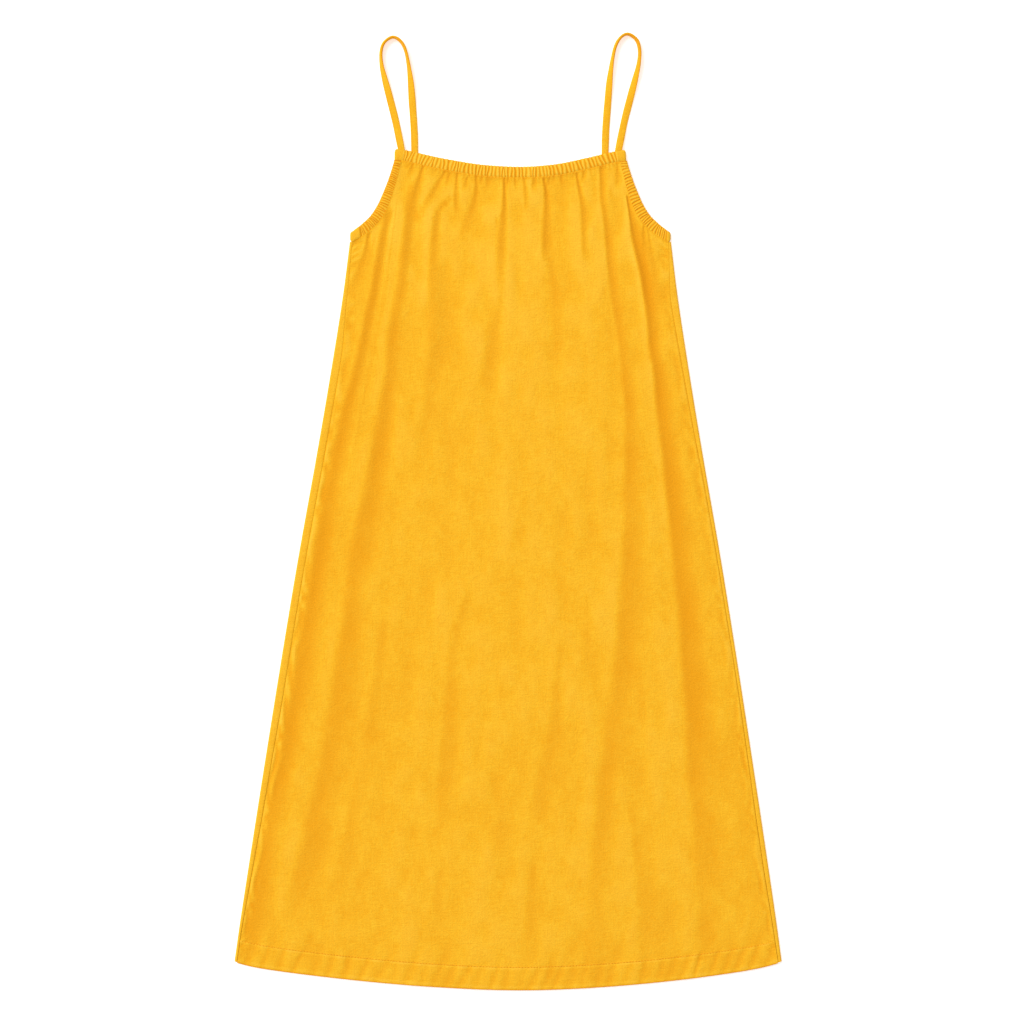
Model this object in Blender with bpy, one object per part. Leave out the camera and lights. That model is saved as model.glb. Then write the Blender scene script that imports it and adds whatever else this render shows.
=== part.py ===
"""Slip dress laid flat on its back: two cotton panels, gathered elastic casings and two narrow straps.

X runs across the dress to the viewer's right, Y from the hem to the straps, Z up from the surface it lies on.
The origin is on that surface, at the middle of the dress's width and length.
"""
import math
from typing import NamedTuple

import bmesh
import bpy
import numpy as np
from mathutils import Vector

MM = 0.001

# Whole dress
LENGTH = 1246 * MM  # hem to the top of the strap loops
HEM_HALF_WIDTH = 356 * MM
UNDERARM_HEIGHT = 349 * MM  # above the middle of the length
AXIS_LEAN = 4 * MM  # the dress lies slightly turned, so its axis drifts this far to the right

# Cloth
WALL = 1.2 * MM
HEM_WALL = 2.0 * MM  # three layers, turned up
HEM_DEPTH = 31 * MM
BACK_HEM_RISE = 1 * MM  # the back's hem stays hidden behind the front's
HEM_STEP_CLEARANCE = 5 * MM  # the front starts to clear the back's thicker hem this far above it
SEAM_GAP = 0.3 * MM
EDGE_HEIGHT = 4.4 * MM  # the rounded side edges, where the back rolls over to the front
PUFF = 1.9 * MM  # air between the panels
CASING_LIFT_REACH = 16 * MM  # how far from a casing the front panel comes down from its side
EDGE_LIFT_REACH = 11 * MM  # and how far from a side edge
GATHER_DEPTH = 10 * MM  # the gathers ripple the front most this far below the casings
GATHER_REACH = 22 * MM
GATHER_RIPPLE = 0.45 * MM
GATHER_UNEVENNESS = 0.25 * MM

# Hem curve
HEM_DIP = 33 * MM  # the middle hangs this much lower than the corners
HEM_CURVE = 1.75  # how the dip grows from the middle to the sides
HEM_SWAY = 16 * MM  # its lowest point is off the axis
HEM_CORNER = 4 * MM
HEM_CORNER_POWER = 20

# Casings
NECK_HALF_WIDTH = 7.6 * MM
ARM_HALF_WIDTH_TOP = 5.2 * MM
ARM_HALF_WIDTH_FOLD = 7.3 * MM
CASING_THICKNESS = 2.7 * MM
BACK_CASING_TOP = 2.6 * MM
FRONT_CASING_UNDERSIDE = 3.1 * MM
BACK_CASING_TUCK = 1.0 * MM  # the back casings are narrower, so that the front ones hide them
BACK_EDGE_GAP = 0.7 * MM
CASING_SIDE_LEVEL = 0.45  # where a casing is widest, as a share of its thickness
CASING_CROWN_WIDTH = 0.55
RIB_DEPTH = 1.0 * MM
RIB_SCALLOP = 0.45 * MM
RIB_CREASE = math.radians(25)
CORNER_BLOCK = 12 * MM  # plain cloth at each end of the neck casings
ARM_TOP_SHARE = 0.15  # the part of an armhole casing that turns from the neck casing's edge
ARM_FOLD_SHARE = 0.25  # and the part that turns square to the fold at the underarm
ARM_WIDENING_SHARE = 0.6

# Gathers, 200 in all
FRONT_NECK_GATHERS = 54
BACK_NECK_GATHERS = 36
FRONT_ARM_GATHERS = 33
BACK_ARM_GATHERS = 22

# Straps
STRAP_WIDTH = 9 * MM
STRAP_THICKNESS = 2.2 * MM
STRAP_ROUNDING = 0.8 * MM
STRAP_CREASE = math.radians(60)
STRAP_FRONT_OUT = 141.5 * MM  # where it meets the neck casings, measured from the axis
STRAP_BACK_OUT = 123.8 * MM
STRAP_SECTIONS = 56
STRAP_TILT = math.radians(78)  # how far the strands turn from flat before the top of the loop
STRAP_FLAT_SHARE = 0.1  # the part of its length that lies flat at each end
STRAP_TURN_SHARE = 0.34  # and the part in which it turns up
STRAP_TOP_SHARE = 0.06
STRAP_SEAM_SHARE = 0.06
FRONT_DROP_SHARE = 0.13  # how soon each end comes down from its casing to the surface
BACK_DROP_SHARE = 0.1
LEFT_LOOP_DROP = 4 * MM  # the left loop is this much shorter

# Where the grids of the panels have their lines
FRONT_ARM_COLUMNS = 14
FRONT_NECK_COLUMNS = 32
BACK_ARM_COLUMNS = 8
BACK_NECK_COLUMNS = 14
ROWS = 21
ROW_CROWDING = 1.5  # rows lie closer together towards the casings
EDGE_STEPS = 4  # faces round each side edge

COTTON = (0.95, 0.47, 0.03)
COTTON_SHADE = (0.90, 0.43, 0.03)


class Point(NamedTuple):
    """A point of a centre line, in millimetres: out from the axis, and up from the middle of the length."""

    out: float
    up: float


class SideRow(NamedTuple):
    """Half the width of the body at one height, in millimetres."""

    up: float
    half_width: float


class SeamRow(NamedTuple):
    """How far each side seam lies inside the outline at one height, in millimetres."""

    up: float
    left: float
    right: float


class Fold(NamedTuple):
    """A ridge, or a trough where the height is negative: three points of its line, its heights and its spread."""

    top: Point
    middle: Point
    foot: Point
    top_height: float
    foot_height: float
    left_spread: float
    right_spread: float


NECK_LINE = (
    Point(-151, 463.6),
    Point(-139, 462.7),
    Point(-114, 457.0),
    Point(-88, 451.5),
    Point(-40, 443.7),
    Point(13, 440.7),
    Point(59, 444.0),
    Point(98, 451.8),
    Point(119, 456.7),
    Point(138, 461.1),
    Point(150, 462.5),
)

ARMHOLE_LINE = (
    Point(146.5, 454.2),
    Point(152.5, 433.3),
    Point(159.0, 413.8),
    Point(166.8, 394.9),
    Point(177.0, 379.3),
    Point(188.6, 368.3),
    Point(198.5, 361.5),
    Point(205.7, 357.0),
)

STRAP_LOOP = (
    Point(148.5, 506),
    Point(156.2, 537),
    Point(164.0, 568),
    Point(167.3, 584),
    Point(168.1, 600),
    Point(164.1, 613),
    Point(153.0, 620.5),
    Point(142.6, 615),
    Point(135.5, 600),
    Point(130.1, 568),
    Point(127.0, 530),
    Point(124.6, 495),
)

SIDE_LINE = (
    SideRow(349, 209.0),
    SideRow(275, 218.4),
    SideRow(171, 234.7),
    SideRow(67, 252.2),
    SideRow(-89, 279.5),
    SideRow(-297, 312.7),
    SideRow(-505, 344.5),
    SideRow(-586, 356.0),
)

SIDE_SEAMS = (
    SeamRow(349, 3.2, 3.2),
    SeamRow(275, 5.5, 10.0),
    SeamRow(203, 10.4, 8.2),
    SeamRow(100, 10.0, 6.4),
    SeamRow(40, 9.8, 4.8),
    SeamRow(-245, 9.8, 4.6),
    SeamRow(-400, 7.5, 6.5),
    SeamRow(-465, 5.6, 6.5),
    SeamRow(-550, 3.4, 5.2),
    SeamRow(-623, 3.2, 4.0),
)

# Long folds down each side, then the short ones that the gathers throw
FOLDS = (
    Fold(Point(-169, 355), Point(-192, 288), Point(-214, 203), 1.6, 1.0, 7, 8),
    Fold(Point(-159, 394), Point(-201, 181), Point(-326, -479), -3.4, -1.4, 8, 7),
    Fold(Point(-143, 389), Point(-177, 181), Point(-270, -375), 2.2, 0.8, 9, 11),
    Fold(Point(-114, 448), Point(-162, 145), Point(-260, -413), -2.4, -1.2, 10, 12),
    Fold(Point(116, 446), Point(156, 106), Point(118, -375), -2.6, -1.2, 11, 10),
    Fold(Point(150, 407), Point(189, 119), Point(254, -499), 3.4, 1.3, 17, 5),
    Fold(Point(163, 407), Point(203, 119), Point(268, -499), -3.0, -1.3, 5, 9),
    Fold(Point(-92, 435), Point(-96, 426), Point(-99, 410), -1.4, -0.6, 7, 7),
    Fold(Point(-69, 435), Point(-69, 420), Point(-69, 400), -1.5, -0.6, 7, 7),
    Fold(Point(-44, 435), Point(-45, 408), Point(-57, 370), -1.8, -0.7, 8, 8),
    Fold(Point(-8, 435), Point(-8, 385), Point(-3, 335), -2.0, -0.8, 9, 9),
    Fold(Point(18, 435), Point(18, 424), Point(18, 408), -1.3, -0.5, 6, 6),
    Fold(Point(44, 435), Point(47, 402), Point(51, 312), -2.0, -0.8, 9, 9),
    Fold(Point(87, 440), Point(90, 415), Point(93, 382), -1.7, -0.6, 8, 8),
    Fold(Point(-99, 396), Point(-102, 307), Point(-92, 215), -1.6, -0.8, 12, 12),
)


def smooth_step(value):
    value = min(max(value, 0.0), 1.0)
    return value * value * (3.0 - 2.0 * value)


def fade(distance, reach):
    return math.exp(-((distance / reach) ** 2))


def smooth_curve(points, steps=24):
    """Close points along a Catmull-Rom curve through the given ones."""
    knots = np.array(points, dtype=float)
    knots = np.vstack([2 * knots[0] - knots[1], knots, 2 * knots[-1] - knots[-2]])
    curve = []
    for before, start, end, after in zip(knots, knots[1:], knots[2:], knots[3:]):
        for t in np.arange(steps) / steps:
            bend = 2 * before - 5 * start + 4 * end - after
            twist = -before + 3 * start - 3 * end + after
            curve.append(0.5 * (2 * start + (end - before) * t + bend * t * t + twist * t**3))
    curve.append(knots[-2])
    return np.array(curve)


def even_curve(points, count):
    """Evenly spaced points and unit directions along the smooth curve through the given points."""
    curve = smooth_curve(points)
    run = np.concatenate([[0.0], np.cumsum(np.linalg.norm(np.diff(curve, axis=0), axis=1))])
    stops = np.linspace(0.0, run[-1], count)
    places = np.column_stack([np.interp(stops, run, curve[:, axis]) for axis in range(curve.shape[1])])
    ways = np.gradient(places, axis=0)
    return places, ways / np.linalg.norm(ways, axis=1)[:, None]


NECK_CURVE = smooth_curve(NECK_LINE) * MM
SIDE_CURVE = smooth_curve(SIDE_LINE) * MM


def axis_at(y):
    return AXIS_LEAN * (y / LENGTH + 0.5)


def half_width(y):
    """Half the body's width at a height; it stays the same above the underarm."""
    return float(np.interp(-y, -SIDE_CURVE[:, 0], SIDE_CURVE[:, 1]))


def seam_inset(y, side):
    rows = SIDE_SEAMS[::-1]
    insets = [row.left if side < 0 else row.right for row in rows]
    return float(np.interp(y / MM, [row.up for row in rows], insets)) * MM


def hem_height(out):
    """Height of the hem at a distance out from the axis."""
    share = out / HEM_HALF_WIDTH
    swayed = abs(out - HEM_SWAY * (1 - min(share * share, 1.0))) / HEM_HALF_WIDTH
    corner = HEM_CORNER * min(abs(share), 1.0) ** HEM_CORNER_POWER
    return -LENGTH / 2 + HEM_DIP * swayed**HEM_CURVE + corner


def neck_height(out):
    return float(np.interp(out, NECK_CURVE[:, 0], NECK_CURVE[:, 1]))


def neck_slope(out, span=4 * MM):
    return (neck_height(out + span) - neck_height(out - span)) / (2 * span)


def arm_sections(count, side, tuck=0.0):
    """Centre, inward direction and half width along one armhole casing, from the neck corner to the fold."""
    line = [(point.out * MM, point.up * MM) for point in ARMHOLE_LINE]
    line[0] = (line[0][0], neck_height(side * line[0][0]) - NECK_HALF_WIDTH - SEAM_GAP)
    places, ways = even_curve(line, count)
    sections = []
    for index, (place, way) in enumerate(zip(places, ways)):
        share = index / (count - 1)
        along_neck = Vector((-1.0, -side * neck_slope(side * place[0])))
        across = Vector((way[1], -way[0]))
        level = Vector((0.0, -1.0))
        inward = along_neck.lerp(across, smooth_step(share / ARM_TOP_SHARE))
        inward = inward.lerp(level, smooth_step(1 - (1 - share) / ARM_FOLD_SHARE))
        widening = smooth_step(share / ARM_WIDENING_SHARE)
        half = ARM_HALF_WIDTH_TOP + (ARM_HALF_WIDTH_FOLD - ARM_HALF_WIDTH_TOP) * widening
        sections.append((Vector(place), inward.normalized(), half - tuck))
    return sections


def body_top_edge(arm_columns, neck_columns, tuck, gap, reach):
    """The edge that the casings are sewn to, out to a reach on each side, as distances out and heights."""
    arms = {}
    for side in (-1, 1):
        edge = [centre + inward * (half + gap) for centre, inward, half in arm_sections(80, side, tuck)]
        stops = np.linspace(edge[0].x, reach[side], arm_columns + 1)
        heights = np.interp(stops, [point.x for point in edge], [point.y for point in edge])
        arms[side] = [(side * out, y) for out, y in zip(stops, heights)]
    neck_half = NECK_HALF_WIDTH - tuck + gap
    corner = arms[1][0][0]
    edge = arms[-1][::-1]
    edge[-1] = (-corner, neck_height(-corner) - neck_half)
    for step in range(1, neck_columns):
        out = corner * (2 * step / neck_columns - 1)
        slope = neck_slope(out)
        edge.append((out, neck_height(out) - neck_half * math.sqrt(1 + slope * slope)))
    edge.append((corner, neck_height(corner) - neck_half))
    return edge + arms[1][1:]


def seam_reach(y, side):
    """How far out the front panel goes."""
    return half_width(y) - seam_inset(y, side) - SEAM_GAP


def top_height(edge, out):
    return float(np.interp(out, [point[0] for point in edge], [point[1] for point in edge]))


EDGE_RADIUS = EDGE_HEIGHT / 2
FRONT_REACH = {side: seam_reach(UNDERARM_HEIGHT, side) for side in (-1, 1)}
BACK_REACH = {side: half_width(UNDERARM_HEIGHT) - EDGE_RADIUS for side in (-1, 1)}
WHOLE_REACH = {side: half_width(UNDERARM_HEIGHT) for side in (-1, 1)}
FRONT_TOP = body_top_edge(FRONT_ARM_COLUMNS, FRONT_NECK_COLUMNS, 0.0, SEAM_GAP, FRONT_REACH)
BACK_TOP = body_top_edge(BACK_ARM_COLUMNS, BACK_NECK_COLUMNS, BACK_CASING_TUCK, BACK_EDGE_GAP, BACK_REACH)
SIDE_TOP = body_top_edge(FRONT_ARM_COLUMNS, FRONT_NECK_COLUMNS, 0.0, 2 * SEAM_GAP, WHOLE_REACH)


def fold_height(out, y):
    """Sum of the folds that pass through a point of the front."""
    height = 0.0
    for fold in FOLDS:
        down = (fold.top.up - y / MM) / (fold.top.up - fold.foot.up)
        if not -0.05 < down < 1.05:
            continue
        bend = (fold.top.up - fold.middle.up) / (fold.top.up - fold.foot.up)
        line = (
            fold.top.out * (down - bend) * (down - 1) / bend
            + fold.middle.out * down * (down - 1) / (bend * (bend - 1))
            + fold.foot.out * down * (down - bend) / (1 - bend)
        )
        away = out / MM - line
        spread = fold.left_spread if away < 0 else fold.right_spread
        ends = smooth_step((down + 0.05) / 0.12) * smooth_step((1.05 - down) / 0.3)
        size = fold.top_height + (fold.foot_height - fold.top_height) * down
        height += size * ends * fade(away, spread) * MM
    return height


def cloth_wall(above_hem):
    return WALL + (HEM_WALL - WALL) * smooth_step((HEM_DEPTH + 1 * MM - above_hem) / (2 * MM))


def front_underside(out, y, wall, backing, ripple):
    """Height of the front panel's inner face over the surface, clear of the back's wall."""
    below_casing = max(top_height(FRONT_TOP, out) - y, 0.0)
    inside_outline = max(half_width(y) - abs(out), 0.0)
    low = backing + SEAM_GAP
    at_casing = FRONT_CASING_UNDERSIDE + CASING_SIDE_LEVEL * CASING_THICKNESS - wall / 2 - low
    at_edge = EDGE_HEIGHT - wall - low
    near_casing = fade(below_casing, CASING_LIFT_REACH)
    near_edge = fade(inside_outline, EDGE_LIFT_REACH)
    body = max(PUFF + fold_height(out, y), 0.0) + ripple * fade(below_casing - GATHER_DEPTH, GATHER_REACH)
    lift = body * (1 - near_casing) * (1 - near_edge) + at_edge * near_edge * (1 - near_casing)
    return low + max(lift + at_casing * near_casing, 0.0)


def row_shares():
    """Rows down both panels: a share of the way to the hem band, then the heights of the band's rows."""
    body = [((index / ROWS) ** ROW_CROWDING, None) for index in range(ROWS + 1)]
    return body + [(1.0, HEM_DEPTH - 1 * MM), (1.0, 0.0)]


def row_height(row, top, hem):
    share, above_hem = row
    if above_hem is not None:
        return hem + above_hem
    return top + (hem + HEM_DEPTH + 2 * MM - top) * share


def cotton(name, colour):
    material = bpy.data.materials.new(name)
    material.use_nodes = True
    shader = material.node_tree.nodes["Principled BSDF"]
    shader.inputs["Base Color"].default_value = (*colour, 1.0)
    shader.inputs["Roughness"].default_value = 0.85
    shader.inputs["Metallic"].default_value = 0.0
    shader.inputs["Sheen Weight"].default_value = 0.2
    return material


def finish(name, bm, material, crease=math.radians(50)):
    """Turn a bmesh into a named object, smooth but for edges sharper than the crease."""
    bmesh.ops.recalc_face_normals(bm, faces=bm.faces[:])
    mesh = bpy.data.meshes.new(name)
    bm.to_mesh(mesh)
    bm.free()
    mesh.materials.append(material)
    mesh.shade_smooth()
    mesh.set_sharp_from_angle(angle=crease)
    bpy.context.scene.collection.objects.link(bpy.data.objects.new(name, mesh))


def cloth_panel(name, columns, rows, place, material):
    """A closed wall of cloth: place gives a point for a column, a row and an inner or outer face."""
    bm = bmesh.new()
    bmesh.ops.create_grid(bm, x_segments=columns - 1, y_segments=rows - 1, size=0.5)
    cell = {}
    for vert in bm.verts:
        cell[vert] = (round((vert.co.x + 0.5) * (columns - 1)), round((vert.co.y + 0.5) * (rows - 1)))
    inner_faces = bm.faces[:]
    raised = bmesh.ops.extrude_face_region(bm, geom=inner_faces, use_keep_orig=True)["geom"]
    outer = [item for item in raised if isinstance(item, bmesh.types.BMVert)]
    for vert in outer:
        column = round((vert.co.x + 0.5) * (columns - 1))
        row = round((vert.co.y + 0.5) * (rows - 1))
        vert.co = place(column, row, True)
    for vert, (column, row) in cell.items():
        vert.co = place(column, row, False)
    finish(name, bm, material)


def loft(name, rings, material, crease):
    """A closed body through rings of equal count, with a flat cap at each end."""
    bm = bmesh.new()
    loops = [[bm.verts.new(point) for point in ring] for ring in rings]
    for first, second in zip(loops, loops[1:]):
        for index in range(len(first)):
            after = (index + 1) % len(first)
            bm.faces.new((first[index], first[after], second[after], second[index]))
    bm.faces.new(loops[0])
    bm.faces.new(loops[-1][::-1])
    finish(name, bm, material, crease)


def front_panel():
    """The front: from the casings to the hem, and from seam to seam."""
    rows = row_shares()

    def place(column, row, outer):
        top_out, top_y = FRONT_TOP[column]
        side = -1 if top_out < 0 else 1
        share = abs(top_out) / FRONT_REACH[side]
        hem_y = hem_height(side * share * seam_reach(-LENGTH / 2, side))
        y = row_height(rows[row], top_y, hem_y)
        out = side * share * seam_reach(y, side)
        wall = cloth_wall(y - hem_y)
        ripple = (-1) ** column * (GATHER_RIPPLE + GATHER_UNEVENNESS * math.sin(2.4 * column))
        z = front_underside(out, y, wall, cloth_wall(y - hem_y - HEM_STEP_CLEARANCE), ripple)
        return Vector((axis_at(y) + out, y, z + wall if outer else z))

    cloth_panel("front_panel", len(FRONT_TOP), len(rows), place, cotton("front cotton", COTTON))


def back_panel():
    """The back: flat under the front, and rolled round both side edges up to the side seams."""
    rows = row_shares()
    turns = [math.pi * step / EDGE_STEPS for step in range(EDGE_STEPS + 1)]
    flat = [(point[0] / BACK_REACH[1], None) for point in BACK_TOP[1:-1]]
    left = [(-1, "seam")] + [(-1, turn) for turn in turns[::-1]]
    right = [(1, turn) for turn in turns] + [(1, "seam")]
    columns = left + flat + right

    def place(column, row, outer):
        share, turn = columns[column]
        side = -1 if share < 0 else 1

        def reach(y, wall):
            edge = half_width(y) - EDGE_RADIUS
            if turn is None:
                return share * edge
            if turn == "seam":
                return side * (half_width(y) - seam_inset(y, side))
            bend = EDGE_RADIUS if outer else EDGE_RADIUS - wall
            return side * (edge + bend * math.sin(turn))

        at_top = reach(UNDERARM_HEIGHT, WALL)
        top_y = top_height(BACK_TOP if turn is None else SIDE_TOP, at_top)
        hem_y = hem_height(reach(-LENGTH / 2, HEM_WALL)) + BACK_HEM_RISE
        y = row_height(rows[row], top_y, hem_y)
        wall = cloth_wall(y - hem_y)
        out = reach(y, wall)
        if turn is None:
            z = 0.0 if outer else wall
        elif turn == "seam":
            z = EDGE_HEIGHT if outer else EDGE_HEIGHT - wall
        else:
            z = EDGE_RADIUS - (EDGE_RADIUS if outer else EDGE_RADIUS - wall) * math.cos(turn)
        return Vector((axis_at(y) + out, y, z))

    cloth_panel("back_panel", len(columns), len(rows), place, cotton("back cotton", COTTON_SHADE))


def casing_ring(centre, inward, half, base, up, inner_dip, crown):
    """Six points round a casing: its plain inner face, its two sides and its crown."""
    side_level = inner_dip + (crown - inner_dip) * CASING_SIDE_LEVEL
    profile = (
        (-0.9, inner_dip),
        (0.9, inner_dip),
        (1.0, side_level),
        (CASING_CROWN_WIDTH, crown),
        (-CASING_CROWN_WIDTH, crown),
        (-1.0, side_level),
    )
    ring = []
    for across, level in profile:
        flat = centre + inward * half * across
        ring.append(Vector((flat.x, flat.y, 0.0)) + base + up * level)
    return ring


def neck_casing(name, gathers, half, underside, material):
    """A gathered tunnel along the neckline, with a plain square of cloth at each end."""
    sections = 2 * gathers + 1
    length_places, _ = even_curve([(point.out * MM, point.up * MM) for point in NECK_LINE], 200)
    length = float(np.sum(np.linalg.norm(np.diff(length_places, axis=0), axis=1)))
    block = CORNER_BLOCK / length
    stops = [0.0] + [block + (1 - 2 * block) * index / (sections - 1) for index in range(sections)] + [1.0]
    rings = []
    for index, stop in enumerate(stops):
        out = float(np.interp(stop, np.linspace(0, 1, len(length_places)), length_places[:, 0]))
        slope = neck_slope(out)
        downward = Vector((slope, -1.0)).normalized()
        valley = index % 2 == 0 and 0 < index < len(stops) - 1
        crown = CASING_THICKNESS - (RIB_DEPTH if valley else 0.0)
        scallop = RIB_SCALLOP if valley else 0.0
        y = neck_height(out)
        centre = Vector((axis_at(y) + out, y)) + downward * scallop / 2
        base = Vector((0.0, 0.0, underside))
        rings.append(casing_ring(centre, downward, half - scallop / 2, base, Vector((0, 0, 1)), 0.0, crown))
    loft(name, rings, material, RIB_CREASE)


def armhole_casing(name, side, material):
    """One gathered tunnel: down the front armhole, folded at the underarm and up the back armhole."""
    up = Vector((0.0, 0.0, 1.0))
    inner_radius = (FRONT_CASING_UNDERSIDE - BACK_CASING_TOP) / 2
    pivot_level = (FRONT_CASING_UNDERSIDE + BACK_CASING_TOP) / 2
    rings = []

    def ring_at(centre, inward, half, base, normal, dip, crown):
        turned = Vector((side * inward.x, inward.y))
        placed = Vector((axis_at(centre.y) + side * centre.x, centre.y))
        rings.append(casing_ring(placed, turned, half, base, normal, dip, crown))

    front = arm_sections(2 * FRONT_ARM_GATHERS + 1, side)
    for index, (centre, inward, half) in enumerate(front):
        valley = index % 2 == 1 and index < len(front) - 2
        scallop = RIB_SCALLOP if valley else 0.0
        crown = CASING_THICKNESS - (RIB_DEPTH if valley else 0.0)
        tucked = centre + inward * scallop / 2
        ring_at(tucked, inward, half - scallop / 2, up * FRONT_CASING_UNDERSIDE, up, 0.0, crown)

    fold_centre, fold_inward, front_half = front[-1]
    back = arm_sections(2 * BACK_ARM_GATHERS + 1, side, BACK_CASING_TUCK)
    back_half = back[-1][2]
    for step in range(1, EDGE_STEPS):
        turn = math.pi * step / EDGE_STEPS
        outward = Vector((side * math.sin(turn), 0.0, math.cos(turn)))
        half = front_half + (back_half - front_half) * step / EDGE_STEPS
        base = Vector((0.0, 0.0, pivot_level)) + outward * inner_radius
        crown = CASING_THICKNESS + (BACK_CASING_TOP - CASING_THICKNESS) * step / EDGE_STEPS
        ring_at(fold_centre, fold_inward, half, base, outward, 0.0, crown)

    for index, (centre, inward, half) in enumerate(back[::-1]):
        dip = RIB_DEPTH if index % 2 == 1 and index < len(back) - 1 else 0.0
        ring_at(centre, inward, half, up * BACK_CASING_TOP, -up, dip, BACK_CASING_TOP)
    loft(name, rings, material, RIB_CREASE)


def strap(name, side, material):
    """A narrow turned tube, sewn to the front corner and to the back casing, its loop turned on edge."""
    front_y = neck_height(side * STRAP_FRONT_OUT) + NECK_HALF_WIDTH + SEAM_GAP
    back_y = neck_height(side * STRAP_BACK_OUT) + NECK_HALF_WIDTH - BACK_CASING_TUCK + 2 * SEAM_GAP
    drop = LEFT_LOOP_DROP if side < 0 else 0.0
    low, high = STRAP_LOOP[0].up * MM, LENGTH / 2
    line = [(STRAP_FRONT_OUT, front_y + 0.3 * MM)]
    for point in STRAP_LOOP:
        y = point.up * MM
        line.append((point.out * MM, y - drop * smooth_step((y - low) / (high - low))))
    line.append((STRAP_BACK_OUT, back_y))
    places, ways = even_curve(line, STRAP_SECTIONS)
    half, thick = STRAP_WIDTH / 2, STRAP_THICKNESS / 2
    profile = (
        (half, 0.0),
        (half - STRAP_ROUNDING, thick),
        (STRAP_ROUNDING - half, thick),
        (-half, 0.0),
        (STRAP_ROUNDING - half, -thick),
        (half - STRAP_ROUNDING, -thick),
    )
    front_level = FRONT_CASING_UNDERSIDE + CASING_SIDE_LEVEL * CASING_THICKNESS
    back_level = BACK_CASING_TOP / 2
    up = Vector((0.0, 0.0, 1.0))
    rings = []
    for index, (place, way) in enumerate(zip(places, ways)):
        share = index / (STRAP_SECTIONS - 1)
        to_end = min(share, 1 - share)
        roll = STRAP_TILT * smooth_step((to_end - STRAP_FLAT_SHARE) / STRAP_TURN_SHARE)
        roll += (math.pi / 2 - STRAP_TILT) * smooth_step(1 - (0.5 - to_end) / STRAP_TOP_SHARE)
        if share > 0.5:
            roll = math.pi - roll
        rest = half * math.sin(roll) + thick * abs(math.cos(roll))
        rise = (front_level - thick) * (1 - smooth_step(share / FRONT_DROP_SHARE))
        rise += (back_level - thick) * (1 - smooth_step((1 - share) / BACK_DROP_SHARE))
        way = Vector((side * way[0], way[1], 0.0))
        outward = Vector((side * way.y, -side * way.x, 0.0))
        seam_way = Vector((1.0, neck_slope(side * place[0]), 0.0)).normalized()
        if seam_way.dot(outward) < 0:
            seam_way.negate()
        outward = seam_way.lerp(outward, smooth_step(to_end / STRAP_SEAM_SHARE)).normalized()
        across = outward * math.cos(roll) - up * math.sin(roll)
        normal = up * math.cos(roll) + outward * math.sin(roll)
        centre = Vector((axis_at(place[1]) + side * place[0], place[1], rest + rise))
        rings.append([centre + across * wide + normal * deep for wide, deep in profile])
    loft(name, rings, material, STRAP_CREASE)


def build():
    for item in list(bpy.data.objects):
        bpy.data.objects.remove(item, do_unlink=True)
    back_panel()
    front_panel()
    back_half = NECK_HALF_WIDTH - BACK_CASING_TUCK
    back_cloth = cotton("back casing cotton", COTTON_SHADE)
    neck_casing("back_neck_casing", BACK_NECK_GATHERS, back_half, 0.0, back_cloth)
    front_cloth = cotton("front casing cotton", COTTON)
    neck_casing("front_neck_casing", FRONT_NECK_GATHERS, NECK_HALF_WIDTH, FRONT_CASING_UNDERSIDE, front_cloth)
    for side, word in ((-1, "left"), (1, "right")):
        armhole_casing(f"armhole_casing_{word}", side, cotton(f"{word} armhole cotton", COTTON))
        strap(f"strap_{word}", side, cotton(f"{word} strap cotton", COTTON))


build()
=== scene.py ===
import math
import random
from typing import NamedTuple

import bmesh
import bpy
import numpy as np
from mathutils import Matrix, Vector


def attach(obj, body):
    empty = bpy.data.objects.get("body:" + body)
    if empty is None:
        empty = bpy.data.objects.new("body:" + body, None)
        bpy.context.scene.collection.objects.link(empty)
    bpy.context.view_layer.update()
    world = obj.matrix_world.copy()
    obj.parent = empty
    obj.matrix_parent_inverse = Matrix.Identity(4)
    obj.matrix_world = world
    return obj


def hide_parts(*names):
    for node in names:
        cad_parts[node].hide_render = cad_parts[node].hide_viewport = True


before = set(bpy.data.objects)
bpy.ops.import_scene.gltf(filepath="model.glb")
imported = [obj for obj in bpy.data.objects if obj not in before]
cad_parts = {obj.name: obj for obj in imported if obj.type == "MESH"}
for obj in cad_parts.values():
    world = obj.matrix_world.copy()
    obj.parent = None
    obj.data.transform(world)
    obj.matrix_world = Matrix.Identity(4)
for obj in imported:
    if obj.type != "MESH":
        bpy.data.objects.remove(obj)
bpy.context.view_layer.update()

MM = 0.001

# Whole dress
LENGTH = 1246 * MM
HEM_HALF_WIDTH = 356 * MM
UNDERARM_HEIGHT = 349 * MM
AXIS_LEAN = 4 * MM  # the dress lies slightly turned

# Cloth
CLOTH = 0.7 * MM
HEM_CLOTH = 1.3 * MM
HEM_DEPTH = 31 * MM
BACK_HEM_RISE = 1 * MM
SEAM_GAP = 0.3 * MM
SEAM_TUCK = 0.65 * MM  # how far the front's sides reach in under the back's rolled strips
TOP_TUCK = 1.3 * MM  # how far both panels reach in under their casings
SEAM_LEVEL = 4.3 * MM
EDGE_HEIGHT = 4.4 * MM  # the rounded side edges, where the back rolls over to the front
EDGE_RADIUS = EDGE_HEIGHT / 2
FRONT_LEVEL = 4.6 * MM  # the front's face where it lies smooth
FRONT_FLOOR = 2.3 * MM  # no fold goes lower, because the back lies under it
HEM_LEVEL = 4.0 * MM
BACK_LIFT_LIMIT = 0.8 * MM

# Hem curve
HEM_DIP = 33 * MM
HEM_CURVE = 1.75
HEM_SWAY = 16 * MM
HEM_CORNER = 4 * MM
HEM_CORNER_POWER = 20

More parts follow.
